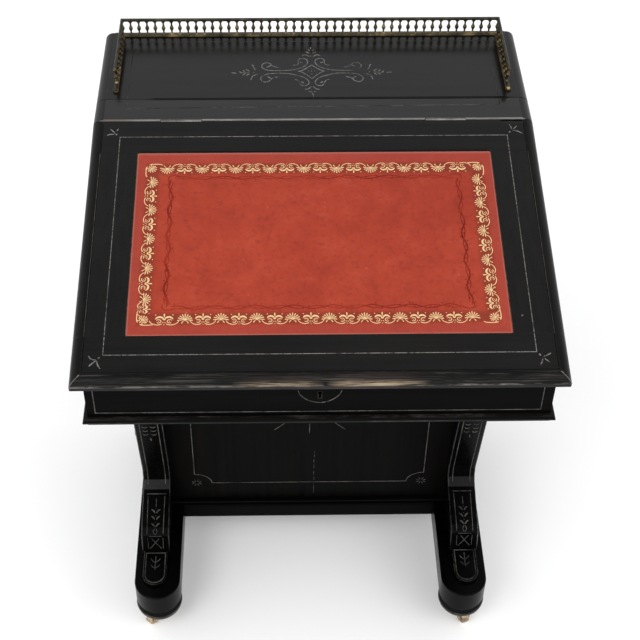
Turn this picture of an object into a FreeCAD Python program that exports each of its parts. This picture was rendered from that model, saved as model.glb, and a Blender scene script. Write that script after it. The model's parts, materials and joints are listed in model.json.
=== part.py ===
import FreeCAD, Part
import math
import os
import Sketcher
from FreeCAD import Vector, Rotation, Placement

# Davenport desk: a sloping-lid writing case over a narrow pedestal of four side drawers.
# Units are millimetres.  +X right, +Y back, +Z up; the front faces -Y.
# Lengths along Y are measured from the front edge of the lid and moved back to the
# middle of the desk by the cell midY, so the origin is under the centre of the desk.

DOC = FreeCAD.newDocument("davenport_desk")
SHEET = DOC.addObject("Spreadsheet::Sheet", "Dims")
SHEET.Label = "Dims"


# ------------------------------------------------------------------ sizes
class Dim(object):
    """A length that knows its value and the sheet expression that drives it."""

    def __init__(self, value, text):
        self.v = float(value)
        self.e = text

    def __add__(self, o):
        o = dim(o)
        return Dim(self.v + o.v, "(%s + %s)" % (self.e, o.e))

    def __radd__(self, o):
        return dim(o) + self

    def __sub__(self, o):
        o = dim(o)
        return Dim(self.v - o.v, "(%s - %s)" % (self.e, o.e))

    def __rsub__(self, o):
        return dim(o) - self

    def __mul__(self, o):
        o = dim(o)
        return Dim(self.v * o.v, "(%s * %s)" % (self.e, o.e))

    def __rmul__(self, o):
        return dim(o) * self

    def __truediv__(self, o):
        o = dim(o)
        return Dim(self.v / o.v, "(%s / %s)" % (self.e, o.e))

    def __neg__(self):
        return Dim(-self.v, "(0 - %s)" % self.e)


def dim(x):
    if isinstance(x, Dim):
        return x
    x = float(x)
    if x < 0:
        return Dim(x, "(0 - %r)" % (-x))
    return Dim(x, "%r" % x)


def dsin(a):
    return Dim(math.sin(math.radians(a.v)), "sin(%s)" % a.e)


def dcos(a):
    return Dim(math.cos(math.radians(a.v)), "cos(%s)" % a.e)


def dtan(a):
    return Dim(math.tan(math.radians(a.v)), "tan(%s)" % a.e)


class Sizes(object):
    pass


S = Sizes()
ROW = [0]


def cell(alias, value, note):
    ROW[0] += 1
    r = ROW[0]
    SHEET.set("A%d" % r, alias)
    SHEET.set("B%d" % r, repr(value))
    SHEET.setAlias("B%d" % r, alias)
    SHEET.set("C%d" % r, note)
    setattr(S, alias, Dim(value, "Dims.%s" % alias))


cell("midY", 285.1, "lid front edge to the middle of the desk")
cell("slopeAngle", 10.4, "slope of the writing lid, degrees")
cell("lidZ", 718.7, "height of the lid's lower front edge")
cell("lidHalf", 275.0, "half width of the lid")
cell("lidThick", 15.1, "thickness of the lid")
cell("lidTopRun", 382.2, "lid length on its upper face")
cell("edgeFillet", 6.8, "square fillet under the edge moulding")
cell("edgeIn", 13.1, "moulded edge, inwards")
cell("edgeQuirk", 0.6, "quirk at the top of the moulded edge")
cell("ovoloRad", 11.6, "radius of the ovolo edge")
cell("leatherHalf", 216.0, "half width of the leather")
cell("leatherLow", 61.7, "leather lower edge, along the slope")
cell("leatherHigh", 329.6, "leather upper edge, along the slope")
cell("leatherThick", 1.5, "leather thickness")
cell("deckTop", 802.7, "top face of the fixed rail and the flap")
cell("deckSeat", 787.5, "top edge of the case under the deck")
cell("railFront", 374.1, "fixed rail, front edge")
cell("railBack", 417.3, "fixed rail, back edge")
cell("flapFront", 418.1, "flap, front edge")
cell("flapBack", 568.0, "flap, back edge")
cell("lidAxisY", 373.6, "lid hinge pin, Y")
cell("lidAxisZ", 801.1, "lid hinge pin, Z")
cell("flapAxisY", 569.4, "flap hinge pin, Y")
cell("flapAxisZ", 787.6, "flap hinge pin, Z")
cell("hingeOff", 165.0, "hinge centre from the middle")
cell("hingeLong", 50.0, "hinge length")
cell("hingePin", 1.0, "hinge pin radius")
cell("hingeKnuckle", 2.0, "hinge knuckle radius")
cell("caseHalf", 262.6, "half width of the case")
cell("caseFront", 13.9, "front face of the case")
cell("caseBack", 566.0, "back face of the case")
cell("caseWall", 14.0, "case wall thickness")
cell("caseFloor", 658.7, "bottom edge of the case walls")
cell("caseBase", 646.7, "underside of the case bottom")
cell("mouldHalf", 268.0, "half width over the base moulding")
cell("mouldFront", 7.4, "front of the base moulding")
cell("mouldWide", 18.0, "width of the moulding strips")
cell("keyZ", 697.0, "keyhole centre height")
cell("partFront", 413.4, "front face of the stationery partition")
cell("partThick", 8.0, "thickness of the partition")
cell("rackFloor", 700.0, "underside of the stationery floor")
cell("wellShelf", 707.0, "underside of the shelf over the small drawers")
cell("wellFront", 284.0, "front edge of that shelf")
cell("pedHalf", 254.6, "half width of the pedestal")
cell("pedFront", 321.0, "front face of the pedestal")
cell("pedBack", 560.0, "back face of the pedestal")
cell("pedWall", 14.0, "pedestal wall thickness")
cell("pedBase", 99.0, "bottom of the pedestal walls")
cell("stile", 18.0, "stile width of the side frames")
cell("openA", 109.0, "bottom drawer opening, low edge")
cell("openAh", 138.0, "bottom drawer opening height")
cell("openB", 255.0, "second opening, low edge")
cell("openBh", 127.5, "second opening height")
cell("openC", 390.5, "third opening, low edge")
cell("openCh", 118.0, "third opening height")
cell("openD", 516.5, "top opening, low edge")
cell("openDh", 112.0, "top opening height")
cell("drawerGap", 0.7, "gap round a drawer front")
cell("drawerFrontT", 15.2, "drawer front thickness")
cell("drawerEnd", -226.0, "far end of the drawer box")
cell("drawerSide", 8.0, "drawer side thickness")
cell("drawerBottom", 5.0, "drawer bottom thickness")
cell("knobInset", 53.0, "knob from the drawer's side edge")
cell("sledHalf", 34.2, "half width of a sled foot")
cell("sledX", 231.7, "centre line of a sled foot")
cell("sledFrontY", 172.0, "centre of the front bun foot")
cell("sledBackY", 531.5, "centre of the back bun foot")
cell("sledBase", 54.0, "underside of the sled")
cell("sledTop", 94.0, "top of the sled")
cell("plinthBase", 66.5, "underside of the plinth rails")
cell("plinthFront", 307.9, "front of the plinth rail")
cell("boardFront", 313.0, "front of the base board")
cell("suppOut", 256.6, "outer face of a front support")
cell("suppIn", 214.6, "inner face of a front support")
cell("bunBase", 28.0, "underside of a bun foot")
cell("wheelRad", 10.0, "castor wheel radius")
cell("wheelWide", 11.0, "castor wheel width")
cell("axleRad", 2.0, "castor axle radius")
cell("castorTrail", 17.0, "castor trail")
cell("turnFL", 227.5, "front left castor heading, degrees from +X")
cell("turnFR", 288.0, "front right castor heading")
cell("turnBL", 150.0, "back left castor heading")
cell("turnBR", 35.0, "back right castor heading")
cell("galleryX", 250.6, "side run of the gallery")
cell("galleryY", 559.4, "back run of the gallery")
cell("galleryEnd", 430.3, "front end of the gallery sides")
cell("galleryTopEnd", 446.5, "front end of the gallery's top rail")
cell("galleryHigh", 27.0, "height of the gallery")
DOC.recompute()


# ------------------------------------------------------------------ frames
class Frame(object):
    """A frame turned about one axis, for parts that stand at an angle."""

    def __init__(self, ox, oy, oz, axis=None, angle=None):
        self.o = (dim(ox), dim(oy), dim(oz))
        self.axis = axis
        self.angle = angle

    def point(self, x, y, z):
        x, y, z = dim(x), dim(y), dim(z)
        if self.axis == "X":
            c, s = dcos(self.angle), dsin(self.angle)
            x, y, z = x, y * c - z * s, y * s + z * c
        elif self.axis == "Z":
            c, s = dcos(self.angle), dsin(self.angle)
            x, y, z = x * c - y * s, x * s + y * c, z
        return (self.o[0] + x, self.o[1] + y, self.o[2] + z)


WORLD = Frame(0, -S.midY, 0)
LID = Frame(0, -S.midY, S.lidZ, "X", S.slopeAngle)


def place(obj, x, y, z, frame=WORLD):
    px, py, pz = frame.point(x, y, z)
    rot = Rotation()
    if frame.axis:
        rot = Rotation(Vector(1, 0, 0) if frame.axis == "X" else Vector(0, 0, 1), frame.angle.v)
    obj.Placement = Placement(Vector(px.v, py.v, pz.v), rot)
    obj.setExpression("Placement.Base.x", px.e)
    obj.setExpression("Placement.Base.y", py.e)
    obj.setExpression("Placement.Base.z", pz.e)
    if frame.axis:
        obj.setExpression("Placement.Rotation.Angle", frame.angle.e)


# ------------------------------------------------------------------ shapes
COUNT = [0]


def unique(base):
    COUNT[0] += 1
    return "%s_%03d" % (base, COUNT[0])


def box(x0, x1, y0, y1, z0, z1, frame=WORLD, label=None):
    x0, x1, y0, y1, z0, z1 = [dim(a) for a in (x0, x1, y0, y1, z0, z1)]
    o = DOC.addObject("Part::Box", unique("box"))
    for prop, d in (("Length", x1 - x0), ("Width", y1 - y0), ("Height", z1 - z0)):
        setattr(o, prop, d.v)
        o.setExpression(prop, d.e)
    place(o, x0, y0, z0, frame)
    if label:
        o.Label = label
    return o


def cyl(x, y, z0, z1, r, frame=WORLD, label=None):
    z0, z1, r = dim(z0), dim(z1), dim(r)
    o = DOC.addObject("Part::Cylinder", unique("cyl"))
    for prop, d in (("Radius", r), ("Height", z1 - z0)):
        setattr(o, prop, d.v)
        o.setExpression(prop, d.e)
    place(o, x, y, z0, frame)
    if label:
        o.Label = label
    return o


def union(parts, label=None):
    o = DOC.addObject("Part::MultiFuse", unique("fuse"))
    o.Shapes = parts
    if label:
        o.Label = label
    return o


def group(parts, label):
    o = DOC.addObject("Part::Compound", unique("group"))
    o.Links = parts
    o.Label = label
    return o


def cut(base, tool, label=None):
    if isinstance(tool, (list, tuple)):
        tool = tool[0] if len(tool) == 1 else union(list(tool))
    o = DOC.addObject("Part::Cut", unique("cut"))
    o.Base = base
    o.Tool = tool
    if label:
        o.Label = label
    return o


def common(a, b, label=None):
    o = DOC.addObject("Part::Common", unique("common"))
    o.Base = a
    o.Tool = b
    if label:
        o.Label = label
    return o


def arc_geometry(a, b, r, side):
    """Minor arc from a to b with radius r, bulging to the left of a->b when side is 1."""
    ax, ay = a
    bx, by = b
    cx, cy = (ax + bx) / 2.0, (ay + by) / 2.0
    ch = math.hypot(bx - ax, by - ay)
    nx, ny = -(by - ay) / ch, (bx - ax) / ch
    d = math.sqrt(max(r * r - ch * ch / 4.0, 0.0))
    ox, oy = cx - side * nx * d, cy - side * ny * d
    t0 = math.atan2(ay - oy, ax - ox)
    t1 = math.atan2(by - oy, bx - ox)
    ccw = side < 0
    if not ccw:
        t0, t1 = t1, t0
    while t1 < t0:
        t1 += 2 * math.pi
    circle = Part.Circle(Vector(ox, oy, 0), Vector(0, 0, 1), r)
    return Part.ArcOfCircle(circle, t0, t1), ccw


ROLES = {"XY": "XY_Plane", "XZ": "XZ_Plane", "YZ": "YZ_Plane"}


def new_body(name):
    body = DOC.addObject("PartDesign::Body", unique(name))
    return body


def draw(body, plane, contours):
    """Sketch closed contours.  A contour is ('C', x, y, r) or a list of corners
    (x, y) or (x, y, r, side): the corner reached by an arc of radius r."""
    sk = body.newObject("Sketcher::SketchObject", unique("sketch"))
    origin = [o for o in body.Origin.OriginFeatures if o.Role == ROLES[plane]][0]
    sk.AttachmentSupport = [(origin, "")]
    sk.MapMode = "FlatFace"
    bound = []

    def dist(kind, geo, pos, d):
        if abs(d.v) < 1e-9:
            # a corner on an axis of the sketch
            sk.addConstraint(Sketcher.Constraint("PointOnObject", geo, pos,
                                                 -2 if kind == "DistanceX" else -1))
            return
        i = sk.addConstraint(Sketcher.Constraint(kind, -1, 1, geo, pos, d.v))
        bound.append((i, d.e))

    for con in contours:
        if con[0] == "C":
            x, y, r = dim(con[1]), dim(con[2]), dim(con[3])
            g = sk.addGeometry(Part.Circle(Vector(x.v, y.v, 0), Vector(0, 0, 1), r.v), False)
            i = sk.addConstraint(Sketcher.Constraint("Radius", g, r.v))
            bound.append((i, r.e))
            if abs(x.v) < 1e-9 and abs(y.v) < 1e-9:
                sk.addConstraint(Sketcher.Constraint("Coincident", g, 3, -1, 1))
            else:
                dist("DistanceX", g, 3, x)
                dist("DistanceY", g, 3, y)
            continue
        corners = [(dim(c[0]), dim(c[1])) for c in con]
        n = len(con)
        geo = []
        for i in range(n):
            a = corners[i]
            b = corners[(i + 1) % n]
            nxt = con[(i + 1) % n]
            av, bv = (a[0].v, a[1].v), (b[0].v, b[1].v)
            if len(nxt) > 2:
                g, ccw = arc_geometry(av, bv, dim(nxt[2]).v, nxt[3])
                gid = sk.addGeometry(g, False)
                geo.append((gid, 1 if ccw else 2, 2 if ccw else 1))
                k = sk.addConstraint(Sketcher.Constraint("Radius", gid, dim(nxt[2]).v))
                bound.append((k, dim(nxt[2]).e))
            else:
                gid = sk.addGeometry(Part.LineSegment(Vector(av[0], av[1], 0),
                                                      Vector(bv[0], bv[1], 0)), False)
                geo.append((gid, 1, 2))
        for i in range(n):
            g, s0, s1 = geo[i]
            h, t0, t1 = geo[(i + 1) % n]
            sk.addConstraint(Sketcher.Constraint("Coincident", g, s1, h, t0))
        for i in range(n):
            g, s0, s1 = geo[i]
            dist("DistanceX", g, s0, corners[i][0])
            dist("DistanceY", g, s0, corners[i][1])
    for i, e in bound:
        sk.setExpression("Constraints[%d]" % i, e)
    return sk


def prism(plane, contours, a0, a1, frame=WORLD, label=None, at=(0, 0)):
    """A sketch on a plane, padded along the plane's own axis from a0 to a1."""
    a0, a1 = dim(a0), dim(a1)
    body = new_body("body")
    sk = draw(body, plane, contours)
    pad = body.newObject("PartDesign::Pad", unique("pad"))
    pad.Profile = sk
    pad.Length = (a1 - a0).v
    pad.setExpression("Length", (a1 - a0).e)
    if plane == "YZ":
        place(body, a0, at[0], at[1], frame)
    elif plane == "XZ":
        place(body, at[0], a1, at[1], frame)
    else:
        place(body, at[0], at[1], a0, frame)
    if label:
        body.Label = label
    return body, pad


def turned(profile, x, y, z, frame=WORLD, label=None):
    """A half profile in (radius, height), turned about the upright axis."""
    body = new_body("turned")
    sk = draw(body, "XZ", [profile])
    rev = body.newObject("PartDesign::Revolution", unique("rev"))
    rev.Profile = sk
    rev.ReferenceAxis = (sk, ["V_Axis"])
    rev.Angle = 360.0
    place(body, x, y, z, frame)
    if label:
        body.Label = label
    return body


def turned_side(profile, x, y, z, way, label=None):
    """A half profile in (length, radius), turned about an axis along X.  way 1
    points it to +X, -1 to -X, and 0 to -Y."""
    body = new_body("turned")
    sk = draw(body, "XY", [profile])
    rev = body.newObject("PartDesign::Revolution", unique("rev"))
    rev.Profile = sk
    rev.ReferenceAxis = (sk, ["H_Axis"])
    rev.Angle = 360.0
    px, py, pz = WORLD.point(x, y, z)
    turn = {1: 0.0, -1: 180.0, 0: -90.0}[way]
    body.Placement = Placement(Vector(px.v, py.v, pz.v), Rotation(Vector(0, 0, 1), turn))
    body.setExpression("Placement.Base.x", px.e)
    body.setExpression("Placement.Base.y", py.e)
    body.setExpression("Placement.Base.z", pz.e)
    if label:
        body.Label = label
    return body


def dress(body, feature, kind, size, want, label=None):
    """Chamfer or fillet the edges of a feature whose middle point passes want."""
    DOC.recompute()
    names = []
    for i, e in enumerate(feature.Shape.Edges):
        p = e.valueAt((e.FirstParameter + e.LastParameter) / 2.0)
        if want(p, e):
            names.append("Edge%d" % (i + 1))
    if not names:
        raise RuntimeError("no edge to dress on %s" % body.Label)
    size = dim(size)
    o = body.newObject("PartDesign::" + kind, unique(kind.lower()))
    o.Base = (feature, names)
    prop = "Size" if kind == "Chamfer" else "Radius"
    setattr(o, prop, size.v)
    o.setExpression(prop, size.e)
    body.Tip = o
    return o


EXPORT = []


def keep(obj, name):
    obj.Label = name
    EXPORT.append(name)
    return obj


# ------------------------------------------------------------------ hinges
def hinge_half(moving):
    """One leaf of a butt hinge.  The pin runs along X through the origin and the
    leaves hang down -Z, the moving one on the -Y side."""
    n = 5
    long = S.hingeLong.v
    kr = S.hingeKnuckle.v
    pr = S.hingePin.v
    step = long / n
    y0, y1 = (-1.6, -0.4) if moving else (0.4, 1.6)
    leaf = Part.makeBox(long, y1 - y0, 10.2, Vector(-long / 2, y0, -12.9))
    solid = leaf
    for i in range(n):
        if (i % 2 == 1) != moving:
            continue
        a = -long / 2 + i * step + 0.1
        w = step - 0.2
        knuckle = Part.makeCylinder(kr, w, Vector(a, 0, 0), Vector(1, 0, 0))
        tab = Part.makeBox(w, y1 - y0, 2.9, Vector(a, y0, -2.8))
        solid = solid.fuse(knuckle).fuse(tab)
    bore = pr + (0.05 if moving else 0.02)
    solid = solid.cut(Part.makeCylinder(bore, long + 2, Vector(-long / 2 - 1, 0, 0), Vector(1, 0, 0)))
    for u in (-18.0, 0.0, 18.0):
        # countersunk screw holes
        solid = solid.cut(Part.makeCylinder(1.3, 6, Vector(u, -3, -8.2), Vector(0, 1, 0)))
    return solid.removeSplitter()


def hinge_pin():
    return Part.makeCylinder(S.hingePin.v, S.hingeLong.v + 1.0,
                             Vector(-S.hingeLong.v / 2 - 0.5, 0, 0), Vector(1, 0, 0))


def hinge_room(grow=0.0):
    """The pocket that both boards are cut for."""
    long = S.hingeLong.v + 0.6
    room = Part.makeCylinder(S.hingeKnuckle.v + 0.5, long + 1.0, Vector(-long / 2 - 0.5, 0, 0), Vector(1, 0, 0))
    room = room.fuse(Part.makeBox(long, 3.5, 13.1, Vector(-long / 2, -1.75, -13.1)))
    return room


def set_shape(label, shape, placement=None):
    o = DOC.addObject("Part::Feature", unique("shape"))
    o.Shape = shape
    if placement is not None:
        o.Placement = placement
    o.Label = label
    return o


LID_PIN = [Placement(Vector(s * S.hingeOff.v, S.lidAxisY.v - S.midY.v, S.lidAxisZ.v), Rotation())
           for s in (-1, 1)]
FLAP_PIN = [Placement(Vector(s * S.hingeOff.v, S.flapAxisY.v - S.midY.v, S.flapAxisZ.v),
                      Rotation(Vector(1, 0, 0), -90)) for s in (-1, 1)]


def at_all(shape, placements):
    out = []
    for p in placements:
        c = shape.copy()
        c.Placement = p.multiply(c.Placement)
        out.append(c)
    return Part.makeCompound(out)


LID_ROOM = set_shape("lid_hinge_room", at_all(hinge_room(), LID_PIN))
FLAP_ROOM = set_shape("flap_hinge_room", at_all(hinge_room(), FLAP_PIN))
keep(set_shape("hinge_fixed_leaves", Part.makeCompound(
    [at_all(hinge_half(False), LID_PIN), at_all(hinge_half(False), FLAP_PIN),
     at_all(hinge_pin(), LID_PIN), at_all(hinge_pin(), FLAP_PIN)])), "hinge_fixed_leaves_and_pins")
keep(set_shape("lid_hinge_leaves", at_all(hinge_half(True), LID_PIN)), "lid_hinge_leaves")
keep(set_shape("flap_hinge_leaves", at_all(hinge_half(True), FLAP_PIN)), "flap_hinge_leaves")


# ------------------------------------------------------------------ lid
TAN = dtan(S.slopeAngle)
top = S.lidThick
eIn, eF, eQ = S.edgeIn, S.edgeFillet, S.edgeQuirk
lid_bottom_run = S.lidTopRun - S.lidThick * TAN


def edge_section(half, low, high):
    """Board section across the desk with an ovolo and fillet on each side edge."""
    return [(-half, low), (half, low), (half, low + eF),
            (half - eIn + 1.1, high - eQ, S.ovoloRad, -1), (half - eIn, high - eQ), (half - eIn, high),
            (-half + eIn, high), (-half + eIn, high - eQ), (-half + eIn - 1.1, high - eQ),
            (-half, low + eF, S.ovoloRad, -1)]


lid_side_form, _ = prism("XZ", [edge_section(S.lidHalf, dim(0), top)], dim(-6), dim(400), LID)
lid_front_form, _ = prism("YZ", [[
    (dim(0), dim(0)), (lid_bottom_run, dim(0)),
    (S.lidTopRun - TAN * 1.0, top - 1.0), (S.lidTopRun - 1.0, top),
    (eIn, top), (eIn, top - eQ), (eIn - 1.1, top - eQ), (dim(0), eF, S.ovoloRad, -1)]],
    -S.lidHalf - 5, S.lidHalf + 5, LID)
lid_slab = common(lid_side_form, lid_front_form)
# mortice for the strike plate, under the front rail
strike_mortice = box(-14, 14, S.caseFront + S.caseWall + 1.0, S.caseFront + S.caseWall + 9.0, 700, 733.4)
lid_cut = cut(cut(lid_slab, LID_ROOM), strike_mortice)
rail_front = common(lid_cut, box(-S.lidHalf - 5, S.lidHalf + 5, -6, S.leatherLow, -5, 25, LID))
rail_top = common(lid_cut, box(-S.lidHalf - 5, S.lidHalf + 5, S.leatherHigh, 400, -5, 25, LID))
keep(group([rail_front, rail_top], "lid_rails"), "lid_rails")
stile_l = common(lid_slab, box(-S.lidHalf - 5, -S.leatherHalf, S.leatherLow, S.leatherHigh, -5, 25, LID))
stile_r = common(lid_slab, box(S.leatherHalf, S.lidHalf + 5, S.leatherLow, S.leatherHigh, -5, 25, LID))
keep(group([stile_l, stile_r], "lid_stiles"), "lid_stiles")
keep(box(-S.leatherHalf, S.leatherHalf, S.leatherLow, S.leatherHigh, 0, top - S.leatherThick, LID),
     "lid_core")
keep(box(-S.leatherHalf + 0.2, S.leatherHalf - 0.2, S.leatherLow + 0.2, S.leatherHigh - 0.2,
         top - S.leatherThick, top, LID), "writing_leather")
# strike plate: a slotted plate let into the underside of the lid
lockY = S.caseFront + S.caseWall
strike = cut(box(-14, 14, 1.5, 9.0, 0.4, 2.0, Frame(0, lockY - S.midY, S.lidZ + (lockY) * TAN, "X", S.slopeAngle)),
             box(-10, 10, lockY + 3.2, lockY + 7.4, 700, 740))
keep(strike, "lid_strike_plate")

# ------------------------------------------------------------------ deck: fixed rail and flap
rail_form, _ = prism("XZ", [edge_section(S.lidHalf, S.deckSeat, S.deckTop)],
                     S.railFront, S.railBack)
rail_nose = prism("YZ", [[(S.railFront - 1, S.deckTop - 2.6), (S.railFront + 2.4, S.deckTop + 0.8),
                          (S.railFront - 1, S.deckTop + 0.8)]], -S.lidHalf - 5, S.lidHalf + 5)[0]
keep(cut(cut(rail_form, LID_ROOM), rail_nose), "deck_rail")
flap_form, _ = prism("XZ", [edge_section(S.lidHalf, S.deckSeat + 0.2, S.deckTop)],
                     S.flapFront, S.flapBack)
keep(cut(flap_form, FLAP_ROOM), "flap_board")

# ------------------------------------------------------------------ case
yk = (S.deckSeat - S.lidZ + 0.2) / TAN
wallIn = S.caseHalf - S.caseWall
frontIn = S.caseFront + S.caseWall
slope_low = S.lidZ - 0.2


def case_side(sign, name):
    a, b = (S.caseHalf - S.caseWall, S.caseHalf) if sign > 0 else (-S.caseHalf, -S.caseHalf + S.caseWall)
    body, _ = prism("YZ", [[(frontIn, S.caseFloor), (S.caseBack, S.caseFloor), (S.caseBack, S.deckSeat),
                            (yk, S.deckSeat), (frontIn, slope_low + frontIn * TAN)]], a, b)
    return keep(body, name)


case_side(-1, "case_side_left")
case_side(1, "case_side_right")
front_form, _ = prism("YZ", [[(S.caseFront, S.caseFloor), (frontIn, S.caseFloor),
                              (frontIn, slope_low + frontIn * TAN),
                              (S.caseFront, slope_low + S.caseFront * TAN)]], -S.caseHalf, S.caseHalf)
key_in = union([prism("XZ", [("C", dim(0), S.keyZ, dim(2.3))], S.caseFront - 2, frontIn + 2)[0],
                box(-1.3, 1.3, S.caseFront - 2, frontIn + 2, S.keyZ - 8.6, S.keyZ)])
key_out = union([prism("XZ", [("C", dim(0), S.keyZ, dim(3.6))], S.caseFront - 2, S.caseFront + 3.0)[0],
                 box(-2.6, 2.6, S.caseFront - 2, S.caseFront + 3.0, S.keyZ - 9.9, S.keyZ)])
keep(cut(front_form, [key_in, key_out]), "case_front")
esc_form = union([prism("XZ", [("C", dim(0), S.keyZ, dim(3.6))], S.caseFront - 0.3, S.caseFront + 3.0)[0],
                  box(-2.6, 2.6, S.caseFront - 0.3, S.caseFront + 3.0, S.keyZ - 9.9, S.keyZ)])
keep(cut(esc_form, key_in), "key_escutcheon")
back_form = box(-wallIn, wallIn, S.caseBack - S.caseWall, S.caseBack, S.caseFloor, S.deckSeat)
keep(cut(back_form, FLAP_ROOM), "case_back")
bottomHalf = S.mouldHalf - S.mouldWide
bottomFront = S.mouldFront + S.mouldWide
keep(box(-bottomHalf, bottomHalf, bottomFront, S.caseBack, S.caseBase, S.caseFloor), "case_bottom")

# base moulding: cove under, fillet, ovolo above; mitred at the front corners
mH, mF, mW = S.mouldHalf, S.mouldFront, S.mouldWide
side_sec = [(-mH + 5.0, S.caseBase, dim(6.4), 1), (mH - 5.0, S.caseBase), (mH, S.caseBase + 6.6, dim(6.4), 1),
            (mH, S.caseBase + 8.8), (mH - 4.0, S.caseFloor, dim(3.9), -1), (-mH + 4.0, S.caseFloor),
            (-mH, S.caseBase + 8.8, dim(3.9), -1), (-mH, S.caseBase + 6.6)]
mould_a, _ = prism("XZ", [side_sec], mF - 5, S.caseBack)
mould_b, _ = prism("YZ", [[(mF + 5.0, S.caseBase, dim(6.4), 1), (S.caseBack, S.caseBase), (S.caseBack, S.caseFloor),
                           (mF + 4.0, S.caseFloor), (mF, S.caseBase + 8.8, dim(3.9), -1),
                           (mF, S.caseBase + 6.6)]],
                   -mH - 5, mH + 5)
ring = cut(common(mould_a, mould_b), box(-bottomHalf, bottomHalf, bottomFront, S.caseBack + 5,
                                         S.caseBase - 1, S.caseFloor + 1))
mitre_f = prism("XY", [[(-mH - 4, mF - 4), (mH + 4, mF - 4), (bottomHalf, bottomFront),
                        (-bottomHalf, bottomFront)]], S.caseBase - 2, S.caseFloor + 2)[0]
mitre_l = prism("XY", [[(-mH - 4, mF - 4), (-bottomHalf, bottomFront), (-bottomHalf, S.caseBack + 5),
                        (-mH - 4, S.caseBack + 5)]], S.caseBase - 2, S.caseFloor + 2)[0]
mitre_r = prism("XY", [[(mH + 4, mF - 4), (mH + 4, S.caseBack + 5), (bottomHalf, S.caseBack + 5),
                        (bottomHalf, bottomFront)]], S.caseBase - 2, S.caseFloor + 2)[0]
keep(group([common(ring, mitre_f), common(ring, mitre_l), common(ring, mitre_r)], "case_moulding"),
     "case_moulding")

# inside: partition and floor of the stationery compartment, with its dividers
pB = S.partFront + S.partThick
backIn = S.caseBack - S.caseWall
rf = S.rackFloor + 6
keep(box(-wallIn, wallIn, S.partFront, pB, S.caseFloor, S.deckSeat), "stationery_partition")
keep(group([box(-wallIn, wallIn, pB, backIn, S.rackFloor, rf),
            box(-150, 150, 466, 470, rf, rf + 66), box(-150, 150, 506, 510, rf, rf + 66),
            box(-154, -150, pB, backIn, rf, rf + 72), box(150, 154, pB, backIn, rf, rf + 72)],
           "letter_rack"), "letter_rack")
keep(group([box(-wallIn, wallIn, S.wellFront, S.partFront, S.wellShelf, S.wellShelf + 6),
            box(-3, 3, S.wellFront, S.partFront, S.caseFloor, S.wellShelf)], "well_drawer_case"),
     "well_drawer_case")


# turned knob: foot disc, neck and a mushroom head
def knob(x, y, z, way, length=20.0, base=7.5, neck=4.6, head=10.5):
    prof = [(0, 0), (0, base), (length * 0.14, base), (length * 0.2, neck + 0.6), (length * 0.48, neck),
            (length * 0.72, head, head * 0.8, 1), (length, head * 0.25, head * 1.05, 1), (length, 0)]
    return turned_side([tuple(dim(v) if k < 3 else v for k, v in enumerate(c)) for c in prof], x, y, z, way)


def small_drawer(x0, x1, name):
    y0, y1 = S.wellFront + 0.5, S.partFront - 4
    z0, z1 = S.caseFloor + 0.4, S.wellShelf - 0.6
    tray = cut(box(x0, x1, y0, y1, z0, z1), box(x0 + 6, x1 - 6, y0 + 8, y1 - 6, z0 + 4, z1 + 5))
    k = knob((x0 + x1) / 2, y0, (z0 + z1) / 2, 0, 13.0, 5.0, 3.0, 6.4)
    return keep(group([tray, k], name), name)


small_drawer(-wallIn + 0.8, dim(-3.8), "well_drawer_left")
small_drawer(dim(3.8), wallIn - 0.8, "well_drawer_right")

# till lock on the inside of the case front
lock_case = box(-24, 24, frontIn, frontIn + 9.4, 689.5, 722.0)
lock_slot = box(-9.4, 9.4, frontIn + 3.8, frontIn + 6.8, 694, 730)
lock_key = union([prism("XZ", [("C", dim(0), S.keyZ, dim(2.6))], frontIn - 1, frontIn + 3)[0],
                  box(-1.5, 1.5, frontIn - 1, frontIn + 3, 690.5, S.keyZ)])
keep(cut(lock_case, [lock_slot, lock_key]), "lock_body")
keep(box(-9, 9, frontIn + 4.0, frontIn + 6.6, 702, 721.6), "lock_bolt")

# ------------------------------------------------------------------ pedestal
pedIn = S.pedHalf - S.pedWall
openings = [(S.openA, S.openAh), (S.openB, S.openBh), (S.openC, S.openCh), (S.openD, S.openDh)]
oy0, oy1 = S.pedFront + S.stile, S.pedBack - S.stile


def side_frame(sign, name):
    a, b = (pedIn, S.pedHalf) if sign > 0 else (-S.pedHalf, -pedIn)
    form = box(a, b, S.pedFront, S.pedBack, S.pedBase, S.caseBase)
    holes = [box(a - 2, b + 2, oy0, oy1, z, z + h) for z, h in openings]
    return keep(cut(form, holes), name)


side_frame(-1, "pedestal_frame_left")
side_frame(1, "pedestal_frame_right")
keep(box(-pedIn, pedIn, S.pedFront, S.pedFront + S.pedWall, S.pedBase, S.caseBase), "pedestal_front_panel")
keep(box(-pedIn, pedIn, S.pedBack - S.pedWall, S.pedBack, S.pedBase, S.caseBase), "pedestal_back_panel")
runners = []
rIn0, rIn1 = S.pedFront + S.pedWall, S.pedBack - S.pedWall
for z, h in openings:
    runners.append(box(-pedIn, pedIn - 2.0, rIn0, rIn0 + 13, z - 6, z + 0.8))
    runners.append(box(-pedIn, pedIn - 2.0, rIn1 - 13, rIn1, z - 6, z + 0.8))
keep(group(runners, "drawer_runners"), "drawer_runners")

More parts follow.
